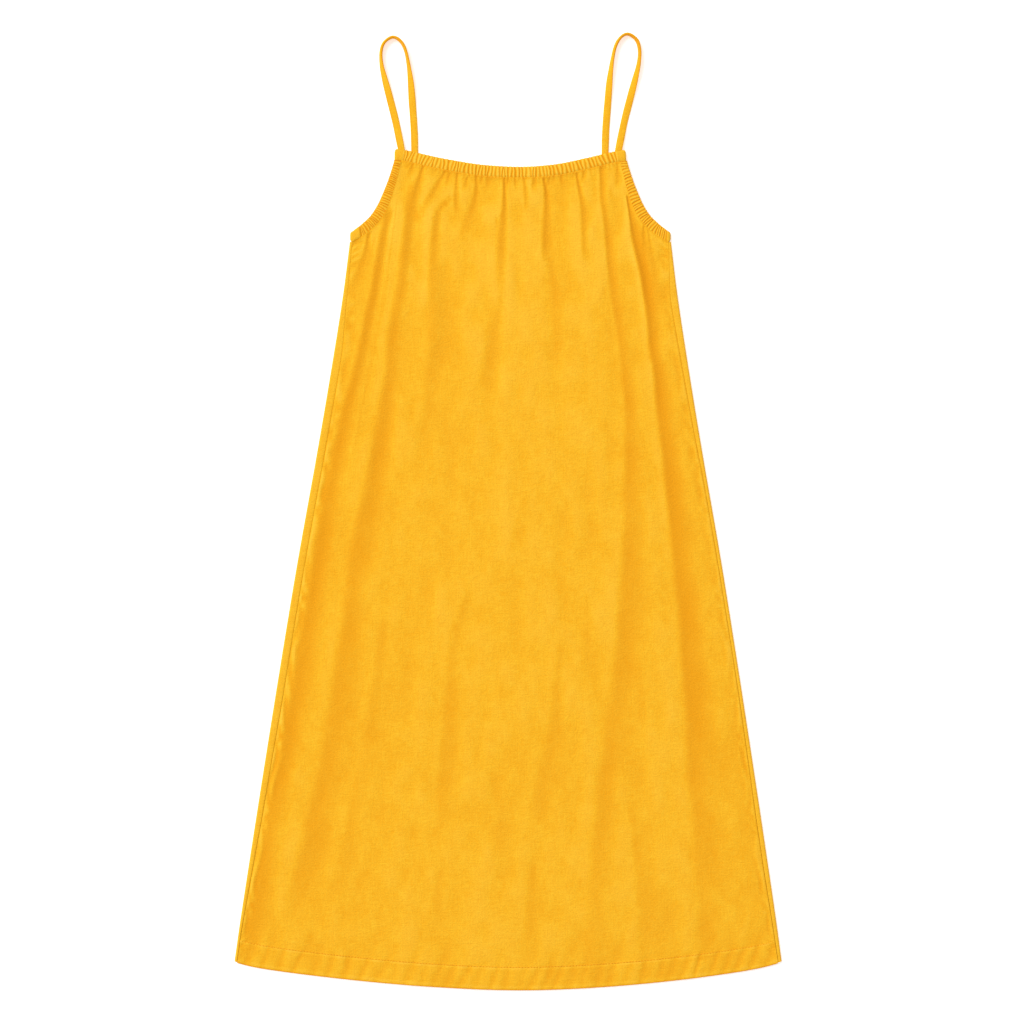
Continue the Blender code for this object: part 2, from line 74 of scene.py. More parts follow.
# Casings
NECK_HALF_WIDTH = 7.6 * MM
ARM_HALF_WIDTH_TOP = 5.2 * MM
ARM_HALF_WIDTH_FOLD = 7.3 * MM
CASING_THICKNESS = 2.7 * MM
BACK_CASING_TOP = 2.6 * MM
FRONT_CASING_UNDERSIDE = 3.1 * MM
BACK_CASING_TUCK = 1.0 * MM
BACK_EDGE_GAP = 0.7 * MM
CORNER_BLOCK = 12 * MM  # plain cloth at each end of the neck casings
CORNER_ROUNDING = 3.4 * MM
ARM_TOP_SHARE = 0.15
ARM_FOLD_SHARE = 0.25
ARM_WIDENING_SHARE = 0.6

# Straps
STRAP_WIDTH = 9.4 * MM
STRAP_THICKNESS = 2.2 * MM
STRAP_LEAN = -1.0 * MM  # both loops have slid a little to the left
STRAP_FRONT_OUT = 141.0 * MM
STRAP_BACK_OUT = 123.8 * MM
STRAP_SECTIONS = 150
STRAP_TILT = math.radians(78)
STRAP_FLAT_SHARE = 0.16
STRAP_TURN_SHARE = 0.28
STRAP_TOP_SHARE = 0.06
STRAP_SEAM_SHARE = 0.06
FRONT_DROP_SHARE = 0.13
BACK_DROP_SHARE = 0.1
LEFT_LOOP_DROP = 4 * MM

# Stitches
STITCH_PITCH = 3.9 * MM
HEM_STITCH_HEIGHT = 30 * MM
STITCH_LIFT = 0.28 * MM

# Gathers
FRONT_NECK_GATHERS = 60
BACK_NECK_GATHERS = 40
FRONT_ARM_GATHERS = {-1: 35, 1: 32}
BACK_ARM_GATHERS = 26
FOLD_PLAIN = {-1: 13 * MM, 1: 3 * MM}  # plain cloth before the fold under each arm
FRONT_RIB_SEED = 102
BACK_RIB_SEED = 101
ARM_RIB_SEED = {-1: 111, 1: 121}
RIB_DEPTH = 0.62 * MM
RIB_WANDER = 0.7 * MM
RIB_STEPS = (0.0, 0.1, 0.22, 0.36, 0.5, 0.64, 0.78, 0.9)

# Small forms of the front
WRINKLE_DEPTH = 0.38 * MM
STREAK_DEPTH = 0.42 * MM
LEFT_PUCKERS = 0.85 * MM
RIGHT_PUCKERS = 0.5 * MM
SEAM_DITCH = 0.13 * MM
HEM_STEP = 0.4 * MM
STITCH_GROOVE = 0.4 * MM
BACK_GROOVE = 0.45 * MM
SECOND_GROOVE = 0.16 * MM  # a second row beside the right seam
SECOND_INSET = 6.4 * MM
HEM_ROUNDING = 0.5 * MM
FOLD_SHADE = 1.35  # millimetres of dip that get the full painted shade

# Rows down both panels: distances below the top edge, then shares of the way down, then heights above the hem
TOP_ROWS = (0, 0.8, 1.6, 2.6, 3.8, 5.2, 7, 9, 11.5, 14.5, 18, 22, 26.5, 31.5, 37, 43, 50, 58)
HEM_ROWS = (40, 36, 33.5, 32.4, 31.6, 31, 30.5, 30, 29.5, 29, 28.2, 26, 22, 17, 12, 7.5, 4, 1.8, 0.6, 0)
BODY_ROWS = 88
ROW_COUNT = len(TOP_ROWS) + BODY_ROWS + len(HEM_ROWS)
CASING_RING = 26
STRAP_RING = 18

# Marigold dye as it looks on flat cloth, then painted shade for down in its folds and a painted highlight for
# up on them
LIT_COTTON = (0.892, 0.491, 0.0225)
DARK_COTTON = (0.810, 0.358, 0.0062)
PAINTED_CREASE_SHADE = (0.765, 0.284, 0.0028)
PAINTED_RIDGE_HIGHLIGHT = (0.930, 0.550, 0.0520)
GRAIN_SHARE = 0.38
SLUB_SHARE = 0.65
CRINKLE_SHARE = 0.4
MOTTLE_SHARE = 0.44
CLOUD_SHARE = 0.2
CRINKLE_HEIGHT = 0.32 * MM

# Studio
FLOOR_DROP = 0.4 * MM
FLOOR_HALF_SIZE = 25.0
WINDOW_PLACE = (-9.8, 8.0, 10.4)
WINDOW_SIZE = 14.0
WINDOW_POWER = 2600.0
SURROUND = 0.62
VIEW_WIDTH = 1331.2 * MM  # of the table, across the camera's frame
VIEW_MIDDLE = (5.2 * MM, -0.9 * MM)


class Point(NamedTuple):
    """A point of a line, in millimetres: out from the axis, and up from the middle of the length."""

    out: float
    up: float


class SideRow(NamedTuple):
    """Half the dress's width at one height, in millimetres."""

    up: float
    half_width: float


class SeamRow(NamedTuple):
    """How far in from the outline each side seam lies at one height, in millimetres."""

    up: float
    left: float
    right: float


class Crease(NamedTuple):
    """A long crease: a ridge on the left of its line and a dip on its right, in millimetres.

    edge is half the width of the slope between them, at the top and at the foot; reach is how far each one
    fades out sideways; foot is the share of the size left at the foot; start and end are its fading lengths.
    """

    line: tuple
    ridge: float
    dip: float
    edge_top: float
    edge_foot: float
    reach: float
    foot: float
    start: float
    end: float


class Thread(NamedTuple):
    """What shows of the thread once in every pitch: its share of the pitch, its half sizes and its tone,
    which is painted shade above 0 and a painted highlight below 0.
    """

    share: float
    half_length: float
    half_width: float
    half_height: float
    tone: float


class Wrinkle(NamedTuple):
    """A short wrinkle across the cloth: its two ends, its height and its spread, in millimetres."""

    first: Point
    last: Point
    height: float
    spread: float


# a painted highlight on the stitches' raised thread, and painted shadow in the needle's pits
STITCH = Thread(0.5, 1.25 * MM, 0.3 * MM, 0.3 * MM, -0.5)
NEEDLE_PIT = Thread(1.0, 0.8 * MM, 0.64 * MM, 0.09 * MM, 0.85)

NECK_LINE = (
    Point(-151, 463.6), Point(-139, 462.7), Point(-114, 457.0), Point(-88, 451.5), Point(-40, 443.7),
    Point(13, 440.7), Point(59, 444.0), Point(98, 451.8), Point(119, 456.7), Point(138, 461.1),
    Point(150, 462.5),
)

ARMHOLE_LINE = (
    Point(146.5, 454.2), Point(152.5, 433.3), Point(159.0, 413.8), Point(166.8, 394.9), Point(177.0, 379.3),
    Point(188.6, 368.3), Point(198.5, 361.5), Point(205.7, 357.0),
)

STRAP_LOOP = (
    Point(148.5, 506), Point(156.2, 537), Point(164.0, 568), Point(167.3, 584), Point(168.1, 600),
    Point(164.1, 613), Point(153.0, 620.5), Point(142.6, 615), Point(135.5, 600), Point(130.1, 568),
    Point(127.0, 530), Point(124.6, 495),
)

SIDE_LINE = (
    SideRow(349, 209.0), SideRow(275, 218.4), SideRow(171, 234.7), SideRow(67, 252.2),
    SideRow(-89, 279.5), SideRow(-297, 312.7), SideRow(-505, 344.5), SideRow(-586, 356.0),
)

SIDE_SEAMS = (
    SeamRow(349, 3.2, 3.2), SeamRow(275, 5.5, 10.0), SeamRow(203, 10.4, 8.2), SeamRow(100, 10.0, 6.4),
    SeamRow(40, 9.8, 4.8), SeamRow(-245, 9.8, 4.6), SeamRow(-400, 7.5, 6.5), SeamRow(-465, 5.6, 6.5),
    SeamRow(-550, 3.4, 5.2), SeamRow(-623, 3.2, 4.0),
)

# The long creases of the front, from left to right, then the short ones that the gathers throw
FRONT_CREASES = (
    Crease((Point(-162, 380), Point(-195, 214), Point(-237, 32), Point(-276, -206), Point(-312, -400),
            Point(-337, -540)), 0.7, 2.0, 4.5, 5.5, 9, 0.62, 20, 50),
    Crease((Point(-132, 410), Point(-140, 340), Point(-155, 229), Point(-172, 100), Point(-198, -20),
            Point(-218, -167), Point(-243, -327), Point(-276, -470)), 0.7, 1.5, 5.5, 7.5, 11, 0.5, 26, 70),
    Crease((Point(-86, 402), Point(-97, 388), Point(-101, 360), Point(-104, 300), Point(-104, 250),
            Point(-110, 150)), 0.5, 1.7, 3.5, 6.0, 8, 0.25, 8, 60),
    Crease((Point(114, 450), Point(131, 288), Point(150, 140), Point(149, -60), Point(134, -250),
            Point(115, -392), Point(104, -566)), 0.6, 1.4, 1.7, 7.0, 11, 0.4, 4, 80),
    Crease((Point(151, 407), Point(161, 352), Point(172, 301)), 0.7, 2.2, 1.0, 2.5, 7, 0.9, 6, 60),
    Crease((Point(168, 318), Point(172, 301), Point(194, 132), Point(207, 0), Point(224, -140),
            Point(234, -300), Point(246, -460), Point(250, -535)), 1.1, 2.8, 3.0, 5.5, 14, 0.12, 60, 60),
    Crease((Point(170, 363), Point(189, 298), Point(218, 197)), 0.4, 0.4, 2.0, 5.0, 6, 0.4, 10, 60),
    Crease((Point(172, 371), Point(172, 337)), 0.4, 1.2, 1.0, 2.0, 2.5, 0.3, 3, 12),
    Crease((Point(178, 364), Point(187, 295)), 0.3, 0.9, 1.2, 3.0, 3, 0.3, 5, 30),
    Crease((Point(138, 446), Point(137, 428)), 0.25, 1.6, 1.2, 1.8, 3, 0.4, 3, 8),
    Crease((Point(127, 415), Point(136, 376)), 0.35, 0.45, 3.0, 5.0, 6, 0.6, 8, 16),
    Crease((Point(85, 439), Point(87, 428), Point(90, 411), Point(93, 391), Point(94, 350)),
           0.3, 1.9, 1.2, 2.2, 3.5, 0.5, 3, 30),
    Crease((Point(42, 432), Point(45, 414), Point(45, 396), Point(44, 379), Point(43, 345)),
           0.35, 2.4, 1.3, 2.8, 3.5, 0.6, 3, 22),
    Crease((Point(50, 320), Point(55, 280), Point(59, 232)), 0.4, 0.7, 4.0, 5.0, 7, 0.8, 16, 30),
    Crease((Point(-9, 433), Point(-8.7, 413), Point(-9, 396), Point(-11, 383), Point(-15, 340),
            Point(-14, 285)), 0.3, 2.3, 1.3, 4.5, 3.5, 0.2, 3, 30),
    Crease((Point(-16, 262), Point(-30, 215), Point(-38, 170)), 0.35, 0.5, 5.0, 6.0, 8, 0.8, 20, 20),
    Crease((Point(-46, 436), Point(-46, 421), Point(-48, 408), Point(-53, 392), Point(-58, 379),
            Point(-62, 366)), 0.3, 2.0, 1.2, 3.0, 3.5, 0.4, 3, 20),
    Crease((Point(-70, 439), Point(-73, 410), Point(-72, 392)), 0.2, 1.6, 1.1, 1.8, 2.5, 0.45, 3, 12),
    Crease((Point(-86, 442), Point(-105, 412), Point(-121, 385)), 0.3, 1.6, 1.3, 3.0, 4, 0.5, 3, 14),
    Crease((Point(-113, 453), Point(-125, 418), Point(-129, 395)), 0.25, 1.8, 1.2, 3.2, 3.5, 0.5, 3, 25),
    Crease((Point(-128, 451), Point(-133, 440)), 0.15, 1.5, 1.0, 1.5, 2.5, 0.4, 3, 8),
    Crease((Point(-80, 439), Point(-85, 426)), 0.15, 1.6, 1.0, 1.4, 2.5, 0.4, 2, 6),
    Crease((Point(-57, 434), Point(-62, 421)), 0.15, 1.6, 1.0, 1.4, 2.5, 0.4, 2, 6),
    Crease((Point(-37, 435), Point(-42, 427)), 0.1, 1.3, 1.0, 1.2, 2, 0.4, 2, 5),
    Crease((Point(-29, 436), Point(-31, 425)), 0.1, 1.2, 1.0, 1.2, 2, 0.4, 2, 6),
    Crease((Point(-4, 433), Point(-7, 423)), 0.1, 1.5, 0.9, 1.1, 2, 0.4, 2, 4),
    Crease((Point(5, 433), Point(5, 424)), 0.1, 1.3, 1.0, 1.2, 2, 0.4, 2, 6),
    Crease((Point(17, 433), Point(18, 419), Point(19, 402)), 0.2, 1.6, 1.1, 1.8, 2.5, 0.35, 2, 14),
    Crease((Point(30, 433), Point(28, 424)), 0.1, 1.3, 1.0, 1.2, 2, 0.4, 2, 6),
    Crease((Point(50, 434), Point(46, 424)), 0.1, 1.6, 0.9, 1.1, 2, 0.4, 2, 4),
    Crease((Point(64, 437), Point(66, 424)), 0.15, 1.4, 1.0, 1.4, 2.5, 0.4, 2, 8),
    Crease((Point(95, 442), Point(92, 431)), 0.1, 1.5, 0.9, 1.2, 2, 0.4, 2, 5),
    Crease((Point(-186, 359), Point(-191, 334), Point(-203, 303)), 0.6, 1.4, 1.8, 3.0, 5, 0.5, 6, 14),
    Crease((Point(-149, 396), Point(-165, 280), Point(-180, 203), Point(-204, 77)),
           0.1, 0.3, 1.0, 1.2, 2, 0.6, 10, 40),
    Crease((Point(-177, 355), Point(-186, 324)), 0.1, 0.3, 1.0, 1.2, 2, 0.6, 8, 12),
    Crease((Point(20, 19), Point(1, -44)), 0.3, 0.4, 5.0, 5.0, 8, 0.8, 18, 18),
    Crease((Point(-60, -119), Point(-77, -187), Point(-92, -401)), 0.3, 0.5, 5.0, 5.0, 9, 0.8, 30, 40),
    Crease((Point(64, -190), Point(52, -291), Point(32, -385)), 0.4, 0.6, 5.0, 5.0, 9, 0.8, 25, 30),
    Crease((Point(168, -206), Point(168, -265)), 0.2, 0.4, 5.0, 5.0, 8, 0.8, 20, 20),
    Crease((Point(-166, -150), Point(-189, -300), Point(-212, -420), Point(-230, -490)),
           0.3, 0.5, 5.0, 5.0, 9, 0.8, 30, 20),
    Crease((Point(100, -120), Point(96, -190)), 0.2, 0.35, 4.0, 5.0, 8, 0.8, 20, 20),
    Crease((Point(-89, -470), Point(-106, -535)), 0.3, 0.4, 4.0, 4.0, 8, 0.8, 16, 16),
    Crease((Point(-12, -390), Point(-20, -440)), 0.2, 0.4, 4.0, 4.0, 8, 0.8, 16, 16),
    Crease((Point(30, -466), Point(22, -545)), 0.25, 0.45, 4.0, 4.0, 8, 0.8, 20, 20),
    Crease((Point(160, -400), Point(172, -540)), 0.2, 0.4, 4.0, 4.0, 8, 0.8, 20, 20),
)

FRONT_WRINKLES = (
    Wrinkle(Point(-194, 350), Point(-207, 344), -0.7, 3),
    Wrinkle(Point(-203, 329), Point(-210, 324), -0.4, 3),
    Wrinkle(Point(-208, 289), Point(-201, 294), -0.4, 3),
    Wrinkle(Point(204, 336), Point(195, 331), -0.5, 2.5),
    Wrinkle(Point(-11, 386), Point(-20, 374), -0.7, 3),
    Wrinkle(Point(-327, -508), Point(-337, -514), -0.6, 3),
    Wrinkle(Point(-334, -531), Point(-343, -539), -0.5, 3),
    Wrinkle(Point(236, -439), Point(265, -436), -0.3, 3),
    Wrinkle(Point(236, -450), Point(259, -448), -0.3, 3),
    Wrinkle(Point(236, -562), Point(269, -556), -0.3, 3),
    Wrinkle(Point(249, -581), Point(275, -575), -0.3, 3),
)

# The back's creases press up from the surface it lies on
BACK_CREASES = (
    Crease((Point(-128, 440), Point(-166, 200), Point(-214, -120), Point(-262, -430)),
           0.7, 0.1, 6.0, 9.0, 9, 0.6, 6, 80),
    Crease((Point(-60, 436), Point(-74, 330), Point(-80, 180)), 0.6, 0.1, 4.0, 7.0, 7, 0.5, 6, 70),
    Crease((Point(-18, 436), Point(-12, 350), Point(2, 240)), 0.6, 0.1, 3.0, 6.0, 7, 0.5, 6, 60),
    Crease((Point(34, 436), Point(38, 380), Point(36, 300)), 0.5, 0.1, 3.0, 5.0, 6, 0.5, 6, 40),
    Crease((Point(78, 440), Point(92, 340), Point(104, 60), Point(120, -260)),
           0.7, 0.1, 5.0, 8.0, 9, 0.6, 6, 90),
    Crease((Point(128, 440), Point(158, 230), Point(206, -90), Point(250, -440)),
           0.7, 0.1, 5.0, 9.0, 9, 0.6, 6, 80),
    Crease((Point(-40, -120), Point(-52, -300), Point(-70, -520)), 0.4, 0.1, 6.0, 8.0, 9, 0.8, 50, 50),
    Crease((Point(30, -220), Point(26, -380), Point(40, -540)), 0.4, 0.1, 6.0, 8.0, 9, 0.8, 50, 50),
)


def smooth_step(value):
    value = np.clip(value, 0.0, 1.0)
    return value * value * (3.0 - 2.0 * value)


def fade(distance, reach):
    return np.exp(-((distance / reach) ** 2))


def smooth_curve(points, steps=24):
    """Close points along a Catmull-Rom curve through the given ones."""
    knots = np.array(points, dtype=float)
    knots = np.vstack([2 * knots[0] - knots[1], knots, 2 * knots[-1] - knots[-2]])
    curve = []
    for before, start, end, after in zip(knots, knots[1:], knots[2:], knots[3:]):
        for t in np.arange(steps) / steps:
            bend = 2 * before - 5 * start + 4 * end - after
            twist = -before + 3 * start - 3 * end + after
            curve.append(0.5 * (2 * start + (end - before) * t + bend * t * t + twist * t**3))
    curve.append(knots[-2])
    return np.array(curve)


def even_curve(points, count):
    """Evenly spaced points and unit directions along the smooth curve through the given points."""
    curve = smooth_curve(points)
    run = np.concatenate([[0.0], np.cumsum(np.linalg.norm(np.diff(curve, axis=0), axis=1))])
    stops = np.linspace(0.0, run[-1], count)
    places = np.column_stack([np.interp(stops, run, curve[:, axis]) for axis in range(curve.shape[1])])
    ways = np.gradient(places, axis=0)
    return places, ways / np.linalg.norm(ways, axis=1)[:, None], run[-1]


NECK_CURVE = smooth_curve(NECK_LINE) * MM
SIDE_CURVE = smooth_curve(SIDE_LINE) * MM


def axis_at(y):
    return AXIS_LEAN * (y / LENGTH + 0.5)


def half_width(y):
    return np.interp(-y, -SIDE_CURVE[:, 0], SIDE_CURVE[:, 1])


def seam_inset(y, side):
    rows = SIDE_SEAMS[::-1]
    heights = [row.up for row in rows]
    left = np.interp(y / MM, heights, [row.left for row in rows])
    right = np.interp(y / MM, heights, [row.right for row in rows])
    return np.where(side < 0, left, right) * MM


def seam_reach(y, side):
    """How far out the front goes."""
    return half_width(y) - seam_inset(y, side) - SEAM_GAP


def hem_height(out):
    share = out / HEM_HALF_WIDTH
    swayed = abs(out - HEM_SWAY * (1 - np.minimum(share * share, 1.0))) / HEM_HALF_WIDTH
    corner = HEM_CORNER * np.minimum(abs(share), 1.0) ** HEM_CORNER_POWER
    return -LENGTH / 2 + HEM_DIP * swayed**HEM_CURVE + corner


def neck_height(out):
    return np.interp(out, NECK_CURVE[:, 0], NECK_CURVE[:, 1])


def neck_slope(out, span=4 * MM):
    return (neck_height(out + span) - neck_height(out - span)) / (2 * span)


def arm_sections(count, side, tuck=0.0):
    """Centre, inward direction and half width along one armhole casing, from the neck corner to the fold."""
    line = [(point.out * MM, point.up * MM) for point in ARMHOLE_LINE]
    line[0] = (line[0][0], float(neck_height(side * line[0][0])) - NECK_HALF_WIDTH - SEAM_GAP)
    places, ways, _ = even_curve(line, count)
    sections = []
    for index, (place, way) in enumerate(zip(places, ways)):
        share = index / (count - 1)
        along_neck = Vector((-1.0, -side * float(neck_slope(side * place[0]))))
        across = Vector((way[1], -way[0]))
        inward = along_neck.lerp(across, float(smooth_step(share / ARM_TOP_SHARE)))
        inward = inward.lerp(Vector((0.0, -1.0)), float(smooth_step(1 - (1 - share) / ARM_FOLD_SHARE)))
        widening = float(smooth_step(share / ARM_WIDENING_SHARE))
        half = ARM_HALF_WIDTH_TOP + (ARM_HALF_WIDTH_FOLD - ARM_HALF_WIDTH_TOP) * widening
        sections.append((Vector(place), inward.normalized(), half - tuck))
    return sections


def top_edge(tuck, gap):
    """The edge that the casings are sewn to, from left to right, as distances out and heights."""
    neck_half = NECK_HALF_WIDTH - tuck + gap
    arms = {}
    for side in (-1, 1):
        sections = arm_sections(120, side, tuck)
        arms[side] = [centre + inward * (half + gap) for centre, inward, half in sections]
    corner = arms[1][0].x
    outs = np.linspace(-corner, corner, 241)
    slopes = neck_slope(outs)
    neck = np.column_stack([outs, neck_height(outs) - neck_half * np.sqrt(1 + slopes * slopes)])
    left = np.array([(-point.x, point.y) for point in arms[-1][:0:-1]])
    right = np.array([(point.x, point.y) for point in arms[1][1:]])
    return np.vstack([left, neck, right]), len(left), len(left) + len(neck)


def soft_noise(x, y, size_x, size_y, seed):
    """Smooth seeded noise between -1 and 1, with cells of the given sizes."""
    grid = np.random.RandomState(seed).uniform(-1, 1, (257, 257))
    at_x, at_y = x / size_x + 64.37, y / size_y + 96.11
    col, row = np.floor(at_x).astype(int) % 256, np.floor(at_y).astype(int) % 256
    side, up = smooth_step(at_x - np.floor(at_x)), smooth_step(at_y - np.floor(at_y))
    low = grid[row, col] * (1 - side) + grid[row, col + 1] * side
    high = grid[row + 1, col] * (1 - side) + grid[row + 1, col + 1] * side
    return low * (1 - up) + high * up


def crease_height(creases, out, y):
    """Height of all the creases at many points at once, and each point's painted shade in them, less by a
    painted highlight on their ridges.
    """
    total, shade = np.zeros_like(out), np.zeros_like(out)
    out, up = out / MM, y / MM
    for number, crease in enumerate(creases):
        curve = smooth_curve(crease.line, 12)
        top, foot = curve[0, 1], curve[-1, 1]
        near = np.flatnonzero((up < top + crease.start) & (up > foot - crease.end))
        if not len(near):
            continue
        height = up[near]
        line = np.interp(-height, -curve[:, 1], curve[:, 0])
        line = line + crease.reach * 0.13 * soft_noise(height, height * 0, 38.0, 1.0, number)
        lean_top = (curve[1, 0] - curve[0, 0]) / (curve[1, 1] - curve[0, 1])
        lean_foot = (curve[-1, 0] - curve[-2, 0]) / (curve[-1, 1] - curve[-2, 1])
        line = line + lean_top * np.maximum(height - top, 0) + lean_foot * np.minimum(height - foot, 0)
        down = np.clip((top - height) / (top - foot), 0, 1)
        edge = crease.edge_top + (crease.edge_foot - crease.edge_top) * smooth_step(down * 1.4)
        size = 1 + (crease.foot - 1) * down
        size = size * smooth_step((top + crease.start - height) / crease.start)
        size = size * smooth_step((height - foot + crease.end) / crease.end)
        size = size * (1 + 0.2 * soft_noise(height, height * 0, 41.0, 1.0, number + 100))
        away = out[near] - line - 0.5 * edge
        reach = crease.reach * (0.4 + 0.9 * smooth_step(down * 1.6))
        crest = away + edge
        trough = away - edge
        ridge = crease.ridge * fade(crest, np.where(crest < 0, reach, 1.5 * edge))
        dip = crease.dip * fade(trough, np.where(trough > 0, 1.3 * reach, 1.5 * edge))
        # painted shade on the slope and in the dip, less of it on the ridge
        dark = crease.dip * fade(away, np.where(away > 0, 1.3 * reach, 1.25 * edge)) - 0.5 * ridge
        size = size * (0.75 + 0.3 * smooth_step((height - 230) / 100))
        total[near] += 0.5 * size * (ridge - dip) * MM
        shade[near] += size * dark / FOLD_SHADE
    return total, shade


def wrinkle_height(wrinkles, out, y):
    total = np.zeros_like(out)
    for wrinkle in wrinkles:
        first, last = np.array(wrinkle.first) * MM, np.array(wrinkle.last) * MM
        way = last - first
        length = np.linalg.norm(way)
        along = ((out - first[0]) * way[0] + (y - first[1]) * way[1]) / length
        across = ((out - first[0]) * way[1] - (y - first[1]) * way[0]) / length
        past = np.maximum(np.maximum(-along, along - length), 0)
        spread = wrinkle.spread * MM
        total += wrinkle.height * MM * fade(across, spread / 2) * fade(past, spread)
    return total


def marigold_cotton(name, tint=1.0):
    """Plain-weave cotton: thread grain, slubs along both ways, small crinkles and soft mottling.

    The fold attribute mixes in painted shade, in full at 1 down in a crease, and a painted highlight, in full
    at -1 on a ridge.
    """
    material = bpy.data.materials.new(name)
    material.use_nodes = True
    nodes, links = material.node_tree.nodes, material.node_tree.links
    shader = nodes["Principled BSDF"]
    shader.inputs["Roughness"].default_value = 0.9
    shader.inputs["Specular IOR Level"].default_value = 0.12
    shader.inputs["Sheen Weight"].default_value = 0.03
    shader.inputs["Sheen Roughness"].default_value = 0.5

    cloth = nodes.new("ShaderNodeUVMap")
    cloth.uv_map = "cloth"

    def noise(across, along, detail, distortion=0.0, lean=0.0):
        mapping = nodes.new("ShaderNodeMapping")
        mapping.vector_type = "TEXTURE"
        mapping.inputs["Rotation"].default_value = (0.0, 0.0, lean)
        mapping.inputs["Scale"].default_value = (across, along, 1.0)
        links.new(cloth.outputs["UV"], mapping.inputs["Vector"])
        texture = nodes.new("ShaderNodeTexNoise")
        texture.noise_dimensions = "2D"
        texture.inputs["Scale"].default_value = 1.0
        texture.inputs["Detail"].default_value = detail
        texture.inputs["Distortion"].default_value = distortion
        links.new(mapping.outputs["Vector"], texture.inputs["Vector"])
        return texture.outputs["Fac"]

    def calculate(operation, first, second):
        node = nodes.new("ShaderNodeMath")
        node.operation = operation
        for socket, value in zip(node.inputs, (first, second)):
            if isinstance(value, float):
                socket.default_value = value
            else:
                links.new(value, socket)
        return node.outputs[0]

    def weigh(start, *parts):
        total = start
        for value, weight in parts:
            total = calculate("ADD", calculate("MULTIPLY", calculate("SUBTRACT", value, 0.5), weight), total)
        return total

    def mix(factor, first, second):
        node = nodes.new("ShaderNodeMix")
        node.data_type = "RGBA"
        links.new(factor, node.inputs[0])
        for index, value in ((6, first), (7, second)):
            if isinstance(value, tuple):
                node.inputs[index].default_value = (*(part * tint for part in value), 1.0)
            else:
                links.new(value, node.inputs[index])
        return node.outputs[2]

    grain = noise(1.45 * MM, 1.55 * MM, 1.0)
    warp_slubs = noise(1.7 * MM, 17 * MM, 2.0)
    weft_slubs = noise(15 * MM, 1.7 * MM, 2.0)
    crinkles = noise(9 * MM, 4.5 * MM, 3.0, 0.9, 0.5)
    mottle = noise(13 * MM, 19 * MM, 2.0, 0.4)
    cloud = noise(45 * MM, 80 * MM, 1.0)

    tone = weigh(0.5, (warp_slubs, SLUB_SHARE), (weft_slubs, SLUB_SHARE), (crinkles, CRINKLE_SHARE),
                 (mottle, MOTTLE_SHARE), (cloud, CLOUD_SHARE))
    base = mix(tone, DARK_COTTON, LIT_COTTON)
    # painted shade mixed in down in the creases and a painted highlight up on the ridges, by the fold
    # attribute
    fold = nodes.new("ShaderNodeAttribute")
    fold.attribute_name = "fold"
    base = mix(fold.outputs["Fac"], base, PAINTED_CREASE_SHADE)
    base = mix(calculate("MULTIPLY", fold.outputs["Fac"], -1.0), base, PAINTED_RIDGE_HIGHLIGHT)
    threads = nodes.new("ShaderNodeHueSaturation")
    links.new(weigh(1.0, (grain, GRAIN_SHARE)), threads.inputs["Value"])
    links.new(base, threads.inputs["Color"])
    links.new(threads.outputs["Color"], shader.inputs["Base Color"])

    relief = weigh(0.0, (grain, 0.10), (warp_slubs, 0.2), (weft_slubs, 0.2), (crinkles, 1.0))
    bump = nodes.new("ShaderNodeBump")
    bump.inputs["Strength"].default_value = 1.0
    bump.inputs["Distance"].default_value = CRINKLE_HEIGHT
    links.new(relief, bump.inputs["Height"])
    links.new(bump.outputs["Normal"], shader.inputs["Normal"])
    return material


def place_piece(bm, places, cloth_places, painted_shade_and_highlight):
    """Moves a mesh's points to their places and gives it its cloth map and its folds' painted shade and
    highlight.
    """
    bm.verts.ensure_lookup_table()
    for vert, place in zip(bm.verts, places):
        vert.co = place
    cloth_layer = bm.loops.layers.uv.new("cloth")
    for face in bm.faces:
        for loop in face.loops:
            loop[cloth_layer].uv = cloth_places[loop.vert.index]
    painted_shade_layer = bm.verts.layers.float.new("fold")
    for vert, tone in zip(bm.verts, painted_shade_and_highlight):
        vert[painted_shade_layer] = tone


def add_object(name, bm, material, smooth_angle):
    bmesh.ops.recalc_face_normals(bm, faces=bm.faces[:])
    mesh = bpy.data.meshes.new(name)
    bm.to_mesh(mesh)
    bm.free()
    mesh.materials.append(material)
    mesh.shade_smooth()
    if smooth_angle is not None:
        mesh.set_sharp_from_angle(angle=math.radians(smooth_angle))
    piece = bpy.data.objects.new(name, mesh)
    bpy.context.scene.collection.objects.link(piece)
    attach(piece, "root")
    return piece


def cloth_grid(columns, rows, fine_rows):
    """A doubled grid: two walls joined round the rim, with twice the columns in the first rows.

    Returns the mesh, each point's column and row, and whether it is on the outer wall.
    """
    bm = bmesh.new()
    bmesh.ops.create_grid(bm, x_segments=columns - 1, y_segments=rows - 1, size=0.5)
    if fine_rows:
        last = fine_rows / (rows - 1) - 0.5 + 1e-6
        across = []
        for edge in bm.edges:
            first, second = edge.verts
            if abs(first.co.y - second.co.y) < 1e-6 and first.co.y < last:
                across.append(edge)
        bmesh.ops.subdivide_edges(bm, edges=across, cuts=1, use_grid_fill=True)
    raised = bmesh.ops.extrude_face_region(bm, geom=bm.faces[:], use_keep_orig=True)["geom"]
    outer_verts = {item for item in raised if isinstance(item, bmesh.types.BMVert)}
    bm.verts.index_update()
    flat = np.array([vert.co[:2] for vert in bm.verts]) + 0.5
    outer = np.array([vert in outer_verts for vert in bm.verts])
    return bm, flat[:, 0] * (columns - 1), flat[:, 1] * (rows - 1), outer


def finish_cloth(name, bm, places, cloth_places, painted_shade_and_highlight, material):
    place_piece(bm, places, cloth_places, painted_shade_and_highlight)
    return add_object(name, bm, material, 60)


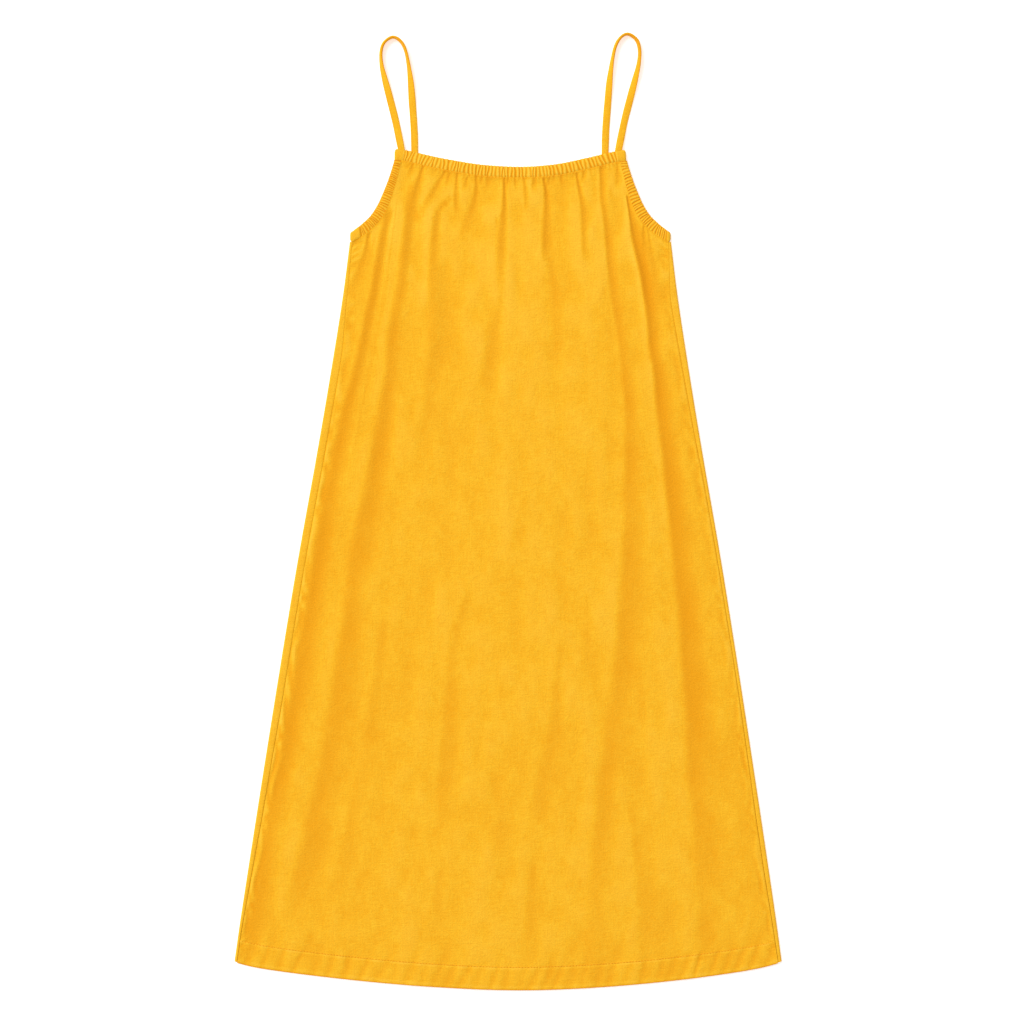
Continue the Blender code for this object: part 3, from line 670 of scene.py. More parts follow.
def row_heights(row, top, hem):
    """Height of each point from its row, the top of its column and its hem."""
    top_count, hem_count = len(TOP_ROWS), len(HEM_ROWS)
    rows = np.arange(ROW_COUNT, dtype=float)
    below_top = np.interp(row, rows[:top_count], np.array(TOP_ROWS) * MM)
    above_hem = np.interp(row, rows[-hem_count:], np.array(HEM_ROWS) * MM)
    start = top - TOP_ROWS[-1] * MM
    end = hem + HEM_ROWS[0] * MM
    share = np.clip((row - (top_count - 1)) / (BODY_ROWS + 1), 0, 1)
    return np.where(row <= top_count - 1, top - below_top,
                    np.where(row >= rows[-hem_count], hem + above_hem, start + (end - start) * share))


def column_stops(tuck, gap, arm_columns, neck_columns, edge_steps, reach):
    """Places of the columns along the top edge, with close ones at both side edges."""
    edge, first, last = top_edge(tuck, gap)
    run = np.concatenate([[0.0], np.cumsum(np.linalg.norm(np.diff(edge, axis=0), axis=1))])
    left_end = float(np.interp(-reach[-1], edge[:, 0], run))
    right_end = float(np.interp(reach[1], edge[:, 0], run))
    near = np.array(edge_steps) * MM
    stops = np.concatenate([
        left_end + near,
        np.linspace(left_end + near[-1], run[first], arm_columns)[1:],
        np.linspace(run[first], run[last - 1], neck_columns)[1:],
        np.linspace(run[last - 1], right_end - near[-1], arm_columns)[1:],
        right_end - near[::-1][1:],
    ])
    return np.interp(stops, run, edge[:, 0]), np.interp(stops, run, edge[:, 1])


class Rib(NamedTuple):
    """One gather of a casing: where its crease lies along it, how it leans, and how deep and high it is."""

    place: float
    lean: float
    depth: float
    height: float


class Gather(NamedTuple):
    """A small crease under a casing, in millimetres: where it starts, how far it runs, its size and lean."""

    place: float
    length: float
    size: float
    width: float
    lean: float


def draw_ribs(count, first, last, lean_left, lean_right, seed):
    """Uneven gathers between two places along a casing."""
    draw = random.Random(seed)
    widths = [draw.uniform(0.62, 1.45) for _ in range(count)]
    total = sum(widths)
    ribs, at = [], 0.0
    for index in range(count + 1):
        share = at / total
        lean = lean_left + (lean_right - lean_left) * share + draw.uniform(-0.16, 0.16)
        ribs.append(Rib(first + (last - first) * share, lean, draw.uniform(0.6, 1.0), draw.uniform(0.8, 1.0)))
        if index < count:
            at += widths[index]
    return ribs


def neck_ribs(count, seed):
    """Ribs along the neckline, how far out each one lies, and the line itself with its running length."""
    line = [(point.out * MM, point.up * MM) for point in NECK_LINE]
    curve, _, length = even_curve(line, 600)
    runs = np.linspace(0, length, 600)
    ribs = draw_ribs(count, CORNER_BLOCK + 1 * MM, length - CORNER_BLOCK - 1 * MM, -0.12, 0.12, seed)
    return ribs, np.interp([rib.place for rib in ribs], runs, curve[:, 0]), curve, runs


def gather_creases(ribs_count, seed):
    """Small creases that run down from the neck casing, one at each gather."""
    draw = random.Random(seed)
    ribs, outs = neck_ribs(ribs_count, seed)[:2]
    creases = []
    for rib, out in zip(ribs, outs):
        length = draw.uniform(5, 10) * (1.8 if draw.random() < 0.2 else 1.0)
        size = draw.uniform(0.25, 0.9) * rib.depth
        width = draw.uniform(0.9, 1.4)
        lean = draw.uniform(-0.2, 0.2) + rib.lean
        creases.append(Gather(out / MM, length, size, width, lean))
    return creases


def gather_height(out, below_top, gathers):
    total = np.zeros_like(out)
    near = np.flatnonzero(below_top < 34 * MM)
    down = below_top[near] / MM
    across = out[near] / MM
    height = np.zeros(len(near))
    for gather in gathers:
        line = gather.place + (gather.lean + 0.25 * gather.place / 139.0) * down
        spread = gather.width + 0.12 * down
        dip = fade(across - line, spread) * smooth_step(1 - down / (gather.length * 1.6))
        ridge = fade(across - line + 1.9 * spread, spread) * smooth_step(1 - down / gather.length)
        height += gather.size * (0.4 * ridge - dip)
    total[near] = height * MM
    return total


def hem_puckers(out, above_hem, seed):
    """Slanted puckers in the hem band and the fainter streaks above them."""
    draw = random.Random(seed)
    total = np.zeros_like(out)
    place = -350.0
    across, above = out / MM, above_hem / MM
    while place < 350:
        place += draw.uniform(13, 24)
        lean = draw.uniform(0.15, 0.6)
        size = draw.uniform(0.35, 0.9)
        width = draw.uniform(2.8, 5.2)
        in_band = fade(across - place - lean * (above - 15), width) * smooth_step((34 - above) / 8)
        total -= size * in_band * smooth_step((above + 8) / 14)
        if draw.random() < 0.6:
            long = draw.uniform(50, 110)
            reach = smooth_step((long - above) / (0.6 * long)) * smooth_step((above - 18) / 20)
            total -= draw.uniform(0.2, 0.4) * fade(across - place - lean * (above - 15), width * 1.5) * reach
    return total * MM


def seam_puckers(inside, y, seed, size):
    """Small puckers along a side seam, one to every finger's width or so."""
    phase = (y - 0.8 * inside) / (11.5 * MM) + 1.1 * soft_noise(y, y, 60 * MM, 60 * MM, seed)
    wave = np.sin(2 * math.pi * phase)
    strength = 0.35 + 0.65 * (0.5 + 0.5 * soft_noise(y, inside, 34 * MM, 90 * MM, seed + 1))
    strength = strength * fade(inside - 6 * MM, 6 * MM) * smooth_step(inside / (3 * MM))
    return size * (wave - 0.3) * strength


def seam_ditch(y, side):
    """How deep the side seam's ditch is: faint under the arms and at the hem."""
    from_top = np.where(side < 0, 0.21, 0.31) - y
    return SEAM_DITCH * smooth_step(from_top / 0.07) * smooth_step((y + 0.60) / 0.12) + 0.03 * MM


def front_face(out, y, below_top, above_hem, side):
    """Height of the front's face over the surface, and its painted shade and highlight: 1 is full painted
    shade in a crease, -1 a full painted highlight on a ridge.
    """
    inside = np.maximum(seam_reach(y, side) + SEAM_TUCK - np.abs(out), 0)
    spread = out * 300 * MM / half_width(y)
    creases, shade = crease_height(FRONT_CREASES, out, y)
    small = wrinkle_height(FRONT_WRINKLES, out, y)
    gathers = gather_height(out, below_top, gather_creases(FRONT_NECK_GATHERS, FRONT_RIB_SEED))
    high = smooth_step((y - 0.1) / 0.3) * smooth_step(below_top / (30 * MM))
    wrinkles = (WRINKLE_DEPTH + 0.3 * MM * high) * soft_noise(out + 0.1 * y, y, 16 * MM, 26 * MM, 3)
    wrinkles += 0.16 * MM * soft_noise(out - 0.45 * y, y, 8 * MM, 17 * MM, 4)
    wrinkles += (STREAK_DEPTH + 0.25 * MM * high) * soft_noise(spread, y, 21 * MM, 110 * MM, 5)
    wrinkles += 0.08 * MM * soft_noise(out, y + 0.3 * out, 12 * MM, 6 * MM, 6)
    hem_folds = hem_puckers(out, above_hem, 21)
    near_edge = fade(inside, 6 * MM)
    near_casing = fade(below_top - TOP_TUCK, 3 * MM)
    level = FRONT_LEVEL + (HEM_LEVEL - FRONT_LEVEL) * smooth_step(1 - above_hem / (120 * MM))
    level = level + (SEAM_LEVEL - level) * fade(inside, 5 * MM)
    hem_step = HEM_STEP * smooth_step((HEM_STITCH_HEIGHT + 1.6 * MM - above_hem) / (1.0 * MM))
    groove = STITCH_GROOVE * fade(above_hem - HEM_STITCH_HEIGHT, 0.9 * MM)
    puckers = seam_puckers(inside, y, 31, np.where(side < 0, LEFT_PUCKERS, RIGHT_PUCKERS))
    puckers = puckers * smooth_step((y + 0.60) / 0.05)
    folds = creases * (1 - 0.6 * near_edge) + 0.5 * gathers + small + wrinkles * (1 - near_edge)
    folds = folds + hem_folds + puckers
    folds = np.where(folds < 0, folds / (1 - folds / (4.5 * MM)), folds)
    folds = folds * (1 - 0.6 * near_casing) + 0.35 * MM * near_casing
    ditch = seam_ditch(y, side)
    dip = ditch * fade(inside - 0.4 * MM, 1.0 * MM) - 0.5 * ditch * fade(inside - 3.0 * MM, 1.2 * MM)
    tuck = 0.1 * MM * smooth_step(1 - inside / (0.3 * MM))
    second = np.where(side > 0, SECOND_GROOVE * fade(inside - SECOND_INSET, 0.8 * MM), 0)
    rounding = HEM_ROUNDING * fade(above_hem, 0.9 * MM)
    face = level + folds + hem_step - groove - dip - tuck - second - rounding

    # painted shade down in the creases, gathers, wrinkles and puckers, and a painted highlight up on them
    tone = shade - (small + 1.6 * gathers + puckers + 0.7 * hem_folds + 0.4 * wrinkles) / (FOLD_SHADE * MM)
    tone = np.where(tone > 0, 1.3 * tone / (0.8 + tone), tone)
    tone += 0.8 * fade(above_hem - 0.4 * MM, 1.0 * MM)  # painted shade at the hem's edge, and a painted highlight on the roll above it
    tone -= 0.4 * fade(above_hem - 3.2 * MM, 1.6 * MM)
    tone += 0.45 * fade(below_top - TOP_TUCK, 1.3 * MM)  # painted shade in under the casings
    sewn = ditch / MM - 0.03
    tone += 1.8 * sewn * fade(inside - 0.4 * MM, 1.0 * MM)  # painted shade in the side seam, and a painted highlight on its ridge
    tone -= 2.2 * sewn * fade(inside - 2.9 * MM, 1.1 * MM)
    # a painted highlight along the light line just below the hem's stitches
    tone -= 0.35 * fade(above_hem - HEM_STITCH_HEIGHT + 1.6 * MM, 0.9 * MM)
    tone -= 0.2 * smooth_step((y - 0.17) / 0.2)  # painted light: the cloth is painted brighter on the chest
    # painted shade along the edge that tucks in under the back's rolled strip
    tone = np.where(inside < 0.9 * MM, 0.5, tone)
    return np.maximum(face, FRONT_FLOOR), np.clip(tone, -0.6, 1)


def make_front():
    """The front cloth, from the casings to the hem and from seam to seam."""
    edge_steps = (0, 0.35, 0.8, 1.3, 1.9, 2.7, 3.6, 4.8, 6.3, 8.2, 10.5)
    front_reach = {side: float(seam_reach(UNDERARM_HEIGHT, side)) + SEAM_TUCK for side in (-1, 1)}
    outs, tops = column_stops(0.0, SEAM_GAP - TOP_TUCK, 48, 150, edge_steps, front_reach)
    bm, column, row, outer = cloth_grid(len(outs), ROW_COUNT, len(TOP_ROWS) - 3)
    top_out = np.interp(column, np.arange(len(outs)), outs)
    top = np.interp(column, np.arange(len(outs)), tops)
    side = np.where(top_out < 0, -1, 1)
    share = abs(top_out) / np.where(side < 0, front_reach[-1], front_reach[1])
    hem = hem_height(side * share * (seam_reach(-LENGTH / 2, side) + SEAM_TUCK))
    y = row_heights(row, top, hem)
    out = side * share * (seam_reach(y, side) + SEAM_TUCK)
    face, tone = front_face(out, y, top - y, y - hem, side)
    thick = CLOTH + (HEM_CLOTH - CLOTH) * smooth_step((HEM_DEPTH + 1 * MM - (y - hem)) / (2 * MM))
    z = np.where(outer, face, face - thick)
    places = np.column_stack([axis_at(y) + out, y, z])
    piece = finish_cloth("front_cloth", bm, places, places[:, :2], tone, FRONT_COTTON)
    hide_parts("front_panel")
    return piece


def make_back():
    """The back cloth: flat under the front, and rolled round both side edges up to the side seams."""
    edge_out = float(half_width(UNDERARM_HEIGHT)) - EDGE_RADIUS
    back_reach = {-1: edge_out, 1: edge_out}
    outs, tops = column_stops(BACK_CASING_TUCK, BACK_EDGE_GAP - TOP_TUCK, 22, 60, (0, 2, 5), back_reach)
    strip = (0.0, 0.05, 0.12, 0.22, 0.4, 0.7, 1.0)
    turns = [math.pi * step / 10 for step in range(11)]
    # Each column: its share of the way out, its place on the rolled strip, and how far round the roll
    left = [(-1, place, math.pi) for place in strip[:-1]] + [(-1, 1.0, turn) for turn in turns[::-1]]
    flat = [(out / edge_out, 1.0, 0.0) for out in outs[1:-1]]
    right = [(1, 1.0, turn) for turn in turns] + [(1, place, math.pi) for place in strip[-2::-1]]
    columns = np.array(left + flat + right)
    front_edge, _, _ = top_edge(0.0, 2 * SEAM_GAP - TOP_TUCK)
    back_tops = np.concatenate([np.zeros(len(left)), tops[1:-1], np.zeros(len(right))])

    bm, column, row, outer = cloth_grid(len(columns), ROW_COUNT, 0)
    column = np.rint(column).astype(int)
    share, place, turn = columns[column].T
    side = np.where(share < 0, -1, 1)
    whole = np.abs(share) >= 1

    def reach(y, wall):
        edge = half_width(y) - EDGE_RADIUS
        bend = np.where(outer, EDGE_RADIUS, EDGE_RADIUS - wall)
        rolled = edge + bend * np.sin(turn)
        seam = half_width(y) - seam_inset(y, side)
        strip_out = seam + (edge - seam) * place
        return side * np.where(whole, np.where(place < 1, strip_out, rolled), np.abs(share) * edge)

    at_top = reach(np.full(len(column), UNDERARM_HEIGHT), CLOTH)
    top = np.where(whole, np.interp(at_top, front_edge[:, 0], front_edge[:, 1]), back_tops[column])
    hem = hem_height(reach(np.full(len(column), -LENGTH / 2), HEM_CLOTH)) + BACK_HEM_RISE
    y = row_heights(row, top, hem)
    above_hem = y - hem
    wall = CLOTH + (HEM_CLOTH - CLOTH) * smooth_step((HEM_DEPTH + 1 * MM - above_hem) / (2 * MM))
    out = reach(y, wall)
    bend = np.where(outer, EDGE_RADIUS, EDGE_RADIUS - wall)
    rolled = EDGE_RADIUS - bend * np.cos(turn)

    creases, _ = crease_height(BACK_CREASES, out, y)
    lift = creases + 0.15 * MM * (1 + soft_noise(out, y, 17 * MM, 30 * MM, 13))
    lift += 0.1 * MM * (1 + soft_noise(out, y, 40 * MM, 90 * MM, 14))
    lift -= hem_puckers(out, above_hem, 41)
    lift -= gather_height(out, top - y, gather_creases(BACK_NECK_GATHERS, BACK_RIB_SEED))
    lift += BACK_GROOVE * fade(above_hem - HEM_STITCH_HEIGHT, 0.9 * MM)
    lift = np.clip(lift, 0, None)
    lift = BACK_LIFT_LIMIT * 1.3 * (1 - np.exp(-lift / (BACK_LIFT_LIMIT * 1.1)))
    lift *= 1 - fade(half_width(y) - EDGE_RADIUS - np.abs(out), 9 * MM)
    in_strip = whole & (place < 1)
    from_seam = np.abs(half_width(y) - seam_inset(y, side) - np.abs(out))
    ditch = (EDGE_HEIGHT - SEAM_LEVEL + seam_ditch(y, side)) * fade(from_seam, 1.1 * MM)
    ditch = np.where(in_strip, ditch, 0)
    z = np.where(whole, rolled - ditch, np.where(outer, lift, lift + wall))
    places = np.column_stack([axis_at(y) + out, y, z])
    # painted shade in the side seam's ditch
    seam_painted_shade = 1.8 * (seam_ditch(y, side) / MM - 0.03) * fade(from_seam, 1.0 * MM)
    seam_painted_shade += 0.3 * fade(from_seam, 0.3 * MM)
    # a painted highlight on the rolled strips, and painted shade that grows with the lift on the flat part
    tone = np.where(whole, np.where(side < 0, -0.15, -0.2) + seam_painted_shade, np.clip(lift / (2.2 * MM), 0, 1))
    # painted shade along the curve of each rolled edge, where it turns away
    outline = whole & (place == 1) & (turn > 0.35) & (turn < 1.9)
    tone = np.where(outline, np.where(side < 0, 0.7, 0.45), tone)
    piece = finish_cloth("back_cloth", bm, places, places[:, :2], tone, BACK_COTTON)
    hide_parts("back_panel")
    return piece


def rib_sections(ribs, start, end, plain_steps):
    """Places along a casing with how far each lies down in a crease: 1 at a crease, 0 on a rib's back."""
    sections = [(place, 0.0, 0.0, 1.0) for place in np.linspace(start, ribs[0].place, plain_steps)[:-1]]
    for rib, after in zip(ribs, ribs[1:]):
        for step in RIB_STEPS:
            place = rib.place + (after.place - rib.place) * step
            lean = rib.lean + (after.lean - rib.lean) * step
            deep = rib.depth + (after.depth - rib.depth) * step
            sections.append((place, lean, deep * abs(2 * step - 1) ** 1.3, rib.height))
    sections.append((ribs[-1].place, ribs[-1].lean, ribs[-1].depth * 0.7, 1.0))
    sections += [(place, 0.0, 0.0, 1.0) for place in np.linspace(ribs[-1].place, end, plain_steps)[1:]]
    return sections


def tube_grid(sections, ring):
    """The grid of a tube, sections along it and a ring round it, which finish_tube closes."""
    bm = bmesh.new()
    bmesh.ops.create_grid(bm, x_segments=sections - 1, y_segments=ring, size=0.5)
    bm.verts.index_update()
    flat = np.array([vert.co[:2] for vert in bm.verts]) + 0.5
    section = np.rint(flat[:, 0] * (sections - 1)).astype(int)
    around = np.rint(flat[:, 1] * ring).astype(int) % ring
    return bm, section, around


def finish_tube(name, bm, places, cloth_places, painted_shade_and_highlight, material, smooth_angle=60):
    place_piece(bm, places, cloth_places, painted_shade_and_highlight)
    bmesh.ops.remove_doubles(bm, verts=bm.verts[:], dist=0.001 * MM)
    rim = [edge for edge in bm.edges if edge.is_boundary]
    bmesh.ops.holes_fill(bm, edges=rim, sides=0)
    return add_object(name, bm, material, smooth_angle)


def casing_profile(around):
    """Across and height shares round a casing's section, crowned above and flat below."""
    angle = 2 * math.pi * around / CASING_RING
    across, height = np.cos(angle), np.sin(angle)
    across = np.sign(across) * np.abs(across) ** 0.8
    height = np.sign(height) * np.abs(height) ** 0.9
    return across, height


def make_neck_casing(name, node, ribs_count, half, underside, thickness, facing, seed):
    """A gathered tunnel along the neckline with a plain block of cloth at each end."""
    ribs, _, curve, runs = neck_ribs(ribs_count, seed)
    length = runs[-1]
    sections = rib_sections(ribs, 0.0, length, 12)
    bm, section, around = tube_grid(len(sections), CASING_RING)
    place, lean, deep, tall = np.array(sections)[section].T
    across, height = casing_profile(around)
    toward_end = np.minimum(place, length - place)
    round_off = np.clip(1 - toward_end / CORNER_ROUNDING, 0, 1)
    rounded = 1 - np.sqrt(np.clip(1 - round_off**2, 0, 1))
    shrink = 1 - rounded * np.where(across < 0, CORNER_ROUNDING / half, 0.15)
    wander = RIB_WANDER * soft_noise(place, across * half, 5 * MM, 5 * MM, seed + 7)
    ribbed = np.clip((toward_end - CORNER_BLOCK + 1 * MM) / (3 * MM), 0, 1)
    along = place + (lean * across * half + wander) * ribbed
    out = np.interp(along, runs, curve[:, 0])
    slope = neck_slope(out)
    size = np.sqrt(1 + slope * slope)
    scallop = np.where(across < 0, 0.10, 0.03) * deep * fade(np.abs(across) - 1, 0.45)
    reach = half * across * shrink * (1 - scallop)
    lower = smooth_step((across - 0.5) / 0.45)
    crown = thickness * (0.5 + 0.5 * height * tall)
    crown -= RIB_DEPTH * deep * smooth_step(height * 2.2) * (1 - 0.8 * lower)
    crown -= 0.35 * MM * smooth_step((across - 0.55) / 0.4) * (height > 0)
    crown *= 1 - 0.45 * rounded
    crown = np.clip(crown, 0.05 * MM, thickness)
    z = underside + crown if facing > 0 else underside + thickness - crown
    y = neck_height(out) - reach / size
    x = axis_at(neck_height(out)) + out + reach * slope / size
    places = np.column_stack([x, y, z])
    cloth_places = np.column_stack([place * 1.4, across * half + height * 2 * MM])
    # painted shade down in the gathers' creases, on the underside and along the lower edge, a painted
    # highlight on the ribs' backs; the plain end blocks get a little painted shade at the lower edge and a
    # faint painted highlight elsewhere
    tone = np.where(height > 0, 3.3 * deep - 1.1 + 0.6 * fade(across - 0.95, 0.08), 0.8)
    tone = np.where(ribbed > 0, tone, 0.3 * fade(across - 0.93, 0.1) - 0.1)
    piece = finish_tube(name, bm, places, cloth_places, np.clip(tone, -0.9, 1), CASING_COTTON)
    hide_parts(node)
    return piece


def make_armhole_casing(side, word):
    """One gathered tunnel: down the front armhole, folded at the underarm and up the back armhole."""
    samples = 240
    plain = FOLD_PLAIN[side]
    seed = ARM_RIB_SEED[side]
    front = arm_sections(samples, side)
    back = arm_sections(samples, side, BACK_CASING_TUCK)
    centres = np.array([centre for centre, _, _ in front])
    length = float(np.sum(np.linalg.norm(np.diff(centres, axis=0), axis=1)))
    runs = np.linspace(0, length, samples)
    tables = {}
    for limb, rows in ((0, front), (1, back)):
        tables[limb] = np.array([(c.x, c.y, i.x, i.y, h) for c, i, h in rows])
    down = draw_ribs(FRONT_ARM_GATHERS[side], 0.5 * MM, length - plain, 0.12, -0.05, seed)
    up = draw_ribs(BACK_ARM_GATHERS, plain, length - 0.5 * MM, 0.1, -0.1, seed + 1)
    # Each row: its place down the armhole, how far round the fold it is, and its rib's lean, depth and height
    front_rows = [(place, 0.0, lean, deep, tall)
                  for place, lean, deep, tall in rib_sections(down, 0, length, 5)]
    fold_rows = [(length, turn, 0.0, 0.0, 1.0) for turn in np.linspace(0, math.pi, 9)[1:-1]]
    back_rows = [(length - place, math.pi, lean, deep, tall)
                 for place, lean, deep, tall in rib_sections(up, 0, length, 5)]
    rows = np.array(front_rows + fold_rows + back_rows)
    bm, section, around = tube_grid(len(rows), CASING_RING)
    place, turn, lean, deep, tall = rows[section].T
    across, height = casing_profile(around)
    share = turn / math.pi
    on_limb = (turn == 0) | (turn == math.pi)
    along = np.clip(place + np.where(on_limb, lean * across * 6 * MM - 0.5 * MM * (1 - np.abs(across)), 0)
                    * np.clip((length - place) / (6 * MM), 0, 1) * np.clip(place / (3 * MM), 0, 1), 0, length)

    def read(column):
        first = np.interp(along, runs, tables[0][:, column])
        second = np.interp(along, runs, tables[1][:, column])
        return first + (second - first) * share

    cx, cy, ix, iy, half = (read(column) for column in range(5))
    thickness = CASING_THICKNESS + (BACK_CASING_TOP - CASING_THICKNESS) * share
    scallop = np.where(across < 0, 0.09, 0.02) * deep * fade(np.abs(across) - 1, 0.45)
    reach = half * across * (1 - scallop)
    crown = thickness * (0.5 + 0.5 * height * tall) - 1.4 * RIB_DEPTH * deep * smooth_step(height * 2.2)
    crown -= 0.3 * MM * fade(across - 0.42, 0.1) * (height > 0) * (deep > 0.02)
    crown = np.clip(crown, 0.05 * MM, thickness)
    top_round = np.clip(1 - place / (1.2 * MM), 0, 1)
    crown *= 1 - 0.35 * top_round**2
    inner_radius = (FRONT_CASING_UNDERSIDE - BACK_CASING_TOP) / 2
    pivot = (FRONT_CASING_UNDERSIDE + BACK_CASING_TOP) / 2
    lift = np.where(turn == 0, FRONT_CASING_UNDERSIDE + crown,
                    np.where(turn == math.pi, BACK_CASING_TOP - crown,
                             pivot + np.cos(turn) * (inner_radius + crown)))
    outward = np.where(on_limb, 0.0, np.sin(turn) * (inner_radius + crown))
    corner_pull = 1.0 * MM * fade(place - length, 1.6 * MM) * smooth_step((np.abs(across) - 0.6) / 0.4)
    out = cx + ix * reach + outward - corner_pull
    y = cy + iy * reach + 1.1 * MM * np.clip(1 - place / (2.5 * MM), 0, 1)
    places = np.column_stack([axis_at(cy) + side * out, y, lift])
    cloth_places = np.column_stack([place * 1.5 + share * 0.2, across * half + height * 2 * MM])
    # painted shade down in the gathers' creases, on the underside and along the lower edge, a painted
    # highlight on the ribs' backs and the plain cloth, a little more painted shade on the left armhole
    ribbed = (deep > 0) & (height > 0)
    tone = np.where(ribbed, 3.6 * deep - 0.95 - 0.08 * side, np.where(height > 0, -0.2, 0.6))
    tone = np.clip(tone + 0.3 * fade(across - 0.95, 0.1), -0.85, 1)
    piece = finish_tube(f"armhole_tunnel_{word}", bm, places, cloth_places, tone, CASING_COTTON)
    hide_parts(f"armhole_casing_{word}")
    return piece


def make_strap(side, word):
    """A narrow turned tube with a pressed seam, its loop standing on edge."""
    front_y = float(neck_height(side * STRAP_FRONT_OUT)) + NECK_HALF_WIDTH + SEAM_GAP
    back_y = float(neck_height(side * STRAP_BACK_OUT)) + NECK_HALF_WIDTH - BACK_CASING_TUCK + 2 * SEAM_GAP
    drop = LEFT_LOOP_DROP if side < 0 else 0.0
    low, high = STRAP_LOOP[0].up * MM, LENGTH / 2
    line = [(STRAP_FRONT_OUT, front_y - 0.9 * MM)]
    for point in STRAP_LOOP:
        y = point.up * MM
        line.append((point.out * MM, y - drop * float(smooth_step((y - low) / (high - low)))))
    line.append((STRAP_BACK_OUT, back_y - 0.5 * MM))
    places, ways, length = even_curve(line, STRAP_SECTIONS)
    bm, section, around = tube_grid(STRAP_SECTIONS, STRAP_RING)
    share = section / (STRAP_SECTIONS - 1)
    to_end = np.minimum(share, 1 - share)
    bulge = smooth_step((to_end - 0.3) / 0.14)
    half, thick = STRAP_WIDTH / 2 * (1 - 0.08 * bulge), STRAP_THICKNESS / 2 * (1 + 0.7 * bulge)
    roll = STRAP_TILT * smooth_step((to_end - STRAP_FLAT_SHARE) / STRAP_TURN_SHARE)
    roll += (math.pi / 2 - STRAP_TILT) * smooth_step(1 - (0.5 - to_end) / STRAP_TOP_SHARE)
    roll = np.where(share > 0.5, math.pi - roll, roll)
    rest = half * np.sin(roll) + thick * np.abs(np.cos(roll))
    roll = -side * roll
    front_level = FRONT_CASING_UNDERSIDE + 0.45 * CASING_THICKNESS
    back_level = BACK_CASING_TOP / 2
    rise = (front_level - thick) * (1 - smooth_step(share / FRONT_DROP_SHARE))
    rise += (back_level - thick) * (1 - smooth_step((1 - share) / BACK_DROP_SHARE))
    way = np.column_stack([side * ways[section, 0], ways[section, 1]])
    outward = np.column_stack([side * way[:, 1], -side * way[:, 0]])
    slope = neck_slope(side * places[section, 0])
    seam_way = np.column_stack([np.ones(len(slope)), slope]) / np.sqrt(1 + slope * slope)[:, None]
    seam_way *= np.sign((seam_way * outward).sum(1))[:, None]
    blend = smooth_step(to_end / STRAP_SEAM_SHARE)[:, None]
    outward = seam_way + (outward - seam_way) * blend
    outward /= np.linalg.norm(outward, axis=1)[:, None]
    angle = 2 * math.pi * around / STRAP_RING
    across = np.sign(np.cos(angle)) * np.abs(np.cos(angle)) ** 0.55
    height = np.sign(np.sin(angle)) * np.abs(np.sin(angle)) ** 0.75
    ripple = 1 + 0.05 * soft_noise(share * length, across * half, 7 * MM, 6 * MM, 61 + side)
    deep = thick * height * ripple * (1 - 0.22 * fade(across - 0.68, 0.14))
    wide = half * across * (1 + 0.025 * soft_noise(share * length, share * 0, 12 * MM, 1.0, 71 + side))
    x = axis_at(places[section, 1]) + side * places[section, 0] + STRAP_LEAN
    y = places[section, 1]
    x = x + outward[:, 0] * (wide * np.cos(roll) + deep * np.sin(roll))
    y = y + outward[:, 1] * (wide * np.cos(roll) + deep * np.sin(roll))
    z = rest + rise - wide * np.sin(roll) + deep * np.cos(roll)
    points = np.column_stack([x, y, z])
    cloth_places = np.column_stack([wide + height * 2 * MM, share * length])
    # painted shade along the pressed seam and the tube's edges, and more where the strap rolls onto its edge
    tone = 0.3 * fade(across - 0.68, 0.14) + 0.2 * smooth_step((np.abs(across) - 0.8) / 0.2)
    tone += 0.4 * np.abs(np.sin(roll))
    piece = finish_tube(f"strap_tube_{word}", bm, points, cloth_places, tone, STRAP_COTTON, 70)
    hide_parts(f"strap_{word}")
    return piece


def stitch_rows(name, rows, kinds):
    """Short rounded stitches along lines of points, with the needle's pits where asked, in one mesh."""
    bm = bmesh.new()
    painted_shade_layer = bm.verts.layers.float.new("fold")
    for points in rows:
        run = np.concatenate([[0.0], np.cumsum(np.linalg.norm(np.diff(points, axis=0), axis=1))])
        for index in range(int(run[-1] / STITCH_PITCH)):
            for kind in kinds:
                stop = (index + kind.share) * STITCH_PITCH
                centre = Vector([float(np.interp(stop, run, points[:, axis])) for axis in range(3)])
                ahead = Vector([float(np.interp(stop + 0.5 * MM, run, points[:, axis])) for axis in range(3)])
                turn = (ahead - centre).to_track_quat("X", "Z").to_matrix().to_4x4()
                size = Matrix.Diagonal((kind.half_length, kind.half_width, kind.half_height, 1.0))
                made = bmesh.ops.create_uvsphere(bm, u_segments=6, v_segments=5, radius=1.0,
                                                 matrix=Matrix.Translation(centre) @ turn @ size)
                for vert in made["verts"]:
                    # each kind's painted shade, negative for a painted highlight
                    vert[painted_shade_layer] = kind.tone
    cloth_layer = bm.loops.layers.uv.new("cloth")
    for face in bm.faces:
        for loop in face.loops:
            loop[cloth_layer].uv = loop.vert.co.xy
    return add_object(name, bm, THREAD, None)


def make_hem_stitches():
    outs = np.linspace(-349 * MM, 347 * MM, 600)
    y = hem_height(outs) + HEM_STITCH_HEIGHT
    side = np.where(outs < 0, -1, 1)
    far_down = np.full(600, 1.0)  # well below the casings
    face, _ = front_face(outs, y, far_down, np.full(600, HEM_STITCH_HEIGHT), side)
    front = np.column_stack([axis_at(y) + outs, y, face + STITCH_LIFT])
    piece = stitch_rows("hem_stitches", [front], (STITCH, NEEDLE_PIT))


def make_back_hem_stitches():
    outs = np.linspace(-346 * MM, 344 * MM, 400)
    y = hem_height(outs) + HEM_STITCH_HEIGHT + BACK_HEM_RISE
    back = np.column_stack([axis_at(y) + outs, y, np.full(400, 0.42 * MM)])
    piece = stitch_rows("back_hem_stitches", [back], (STITCH,))


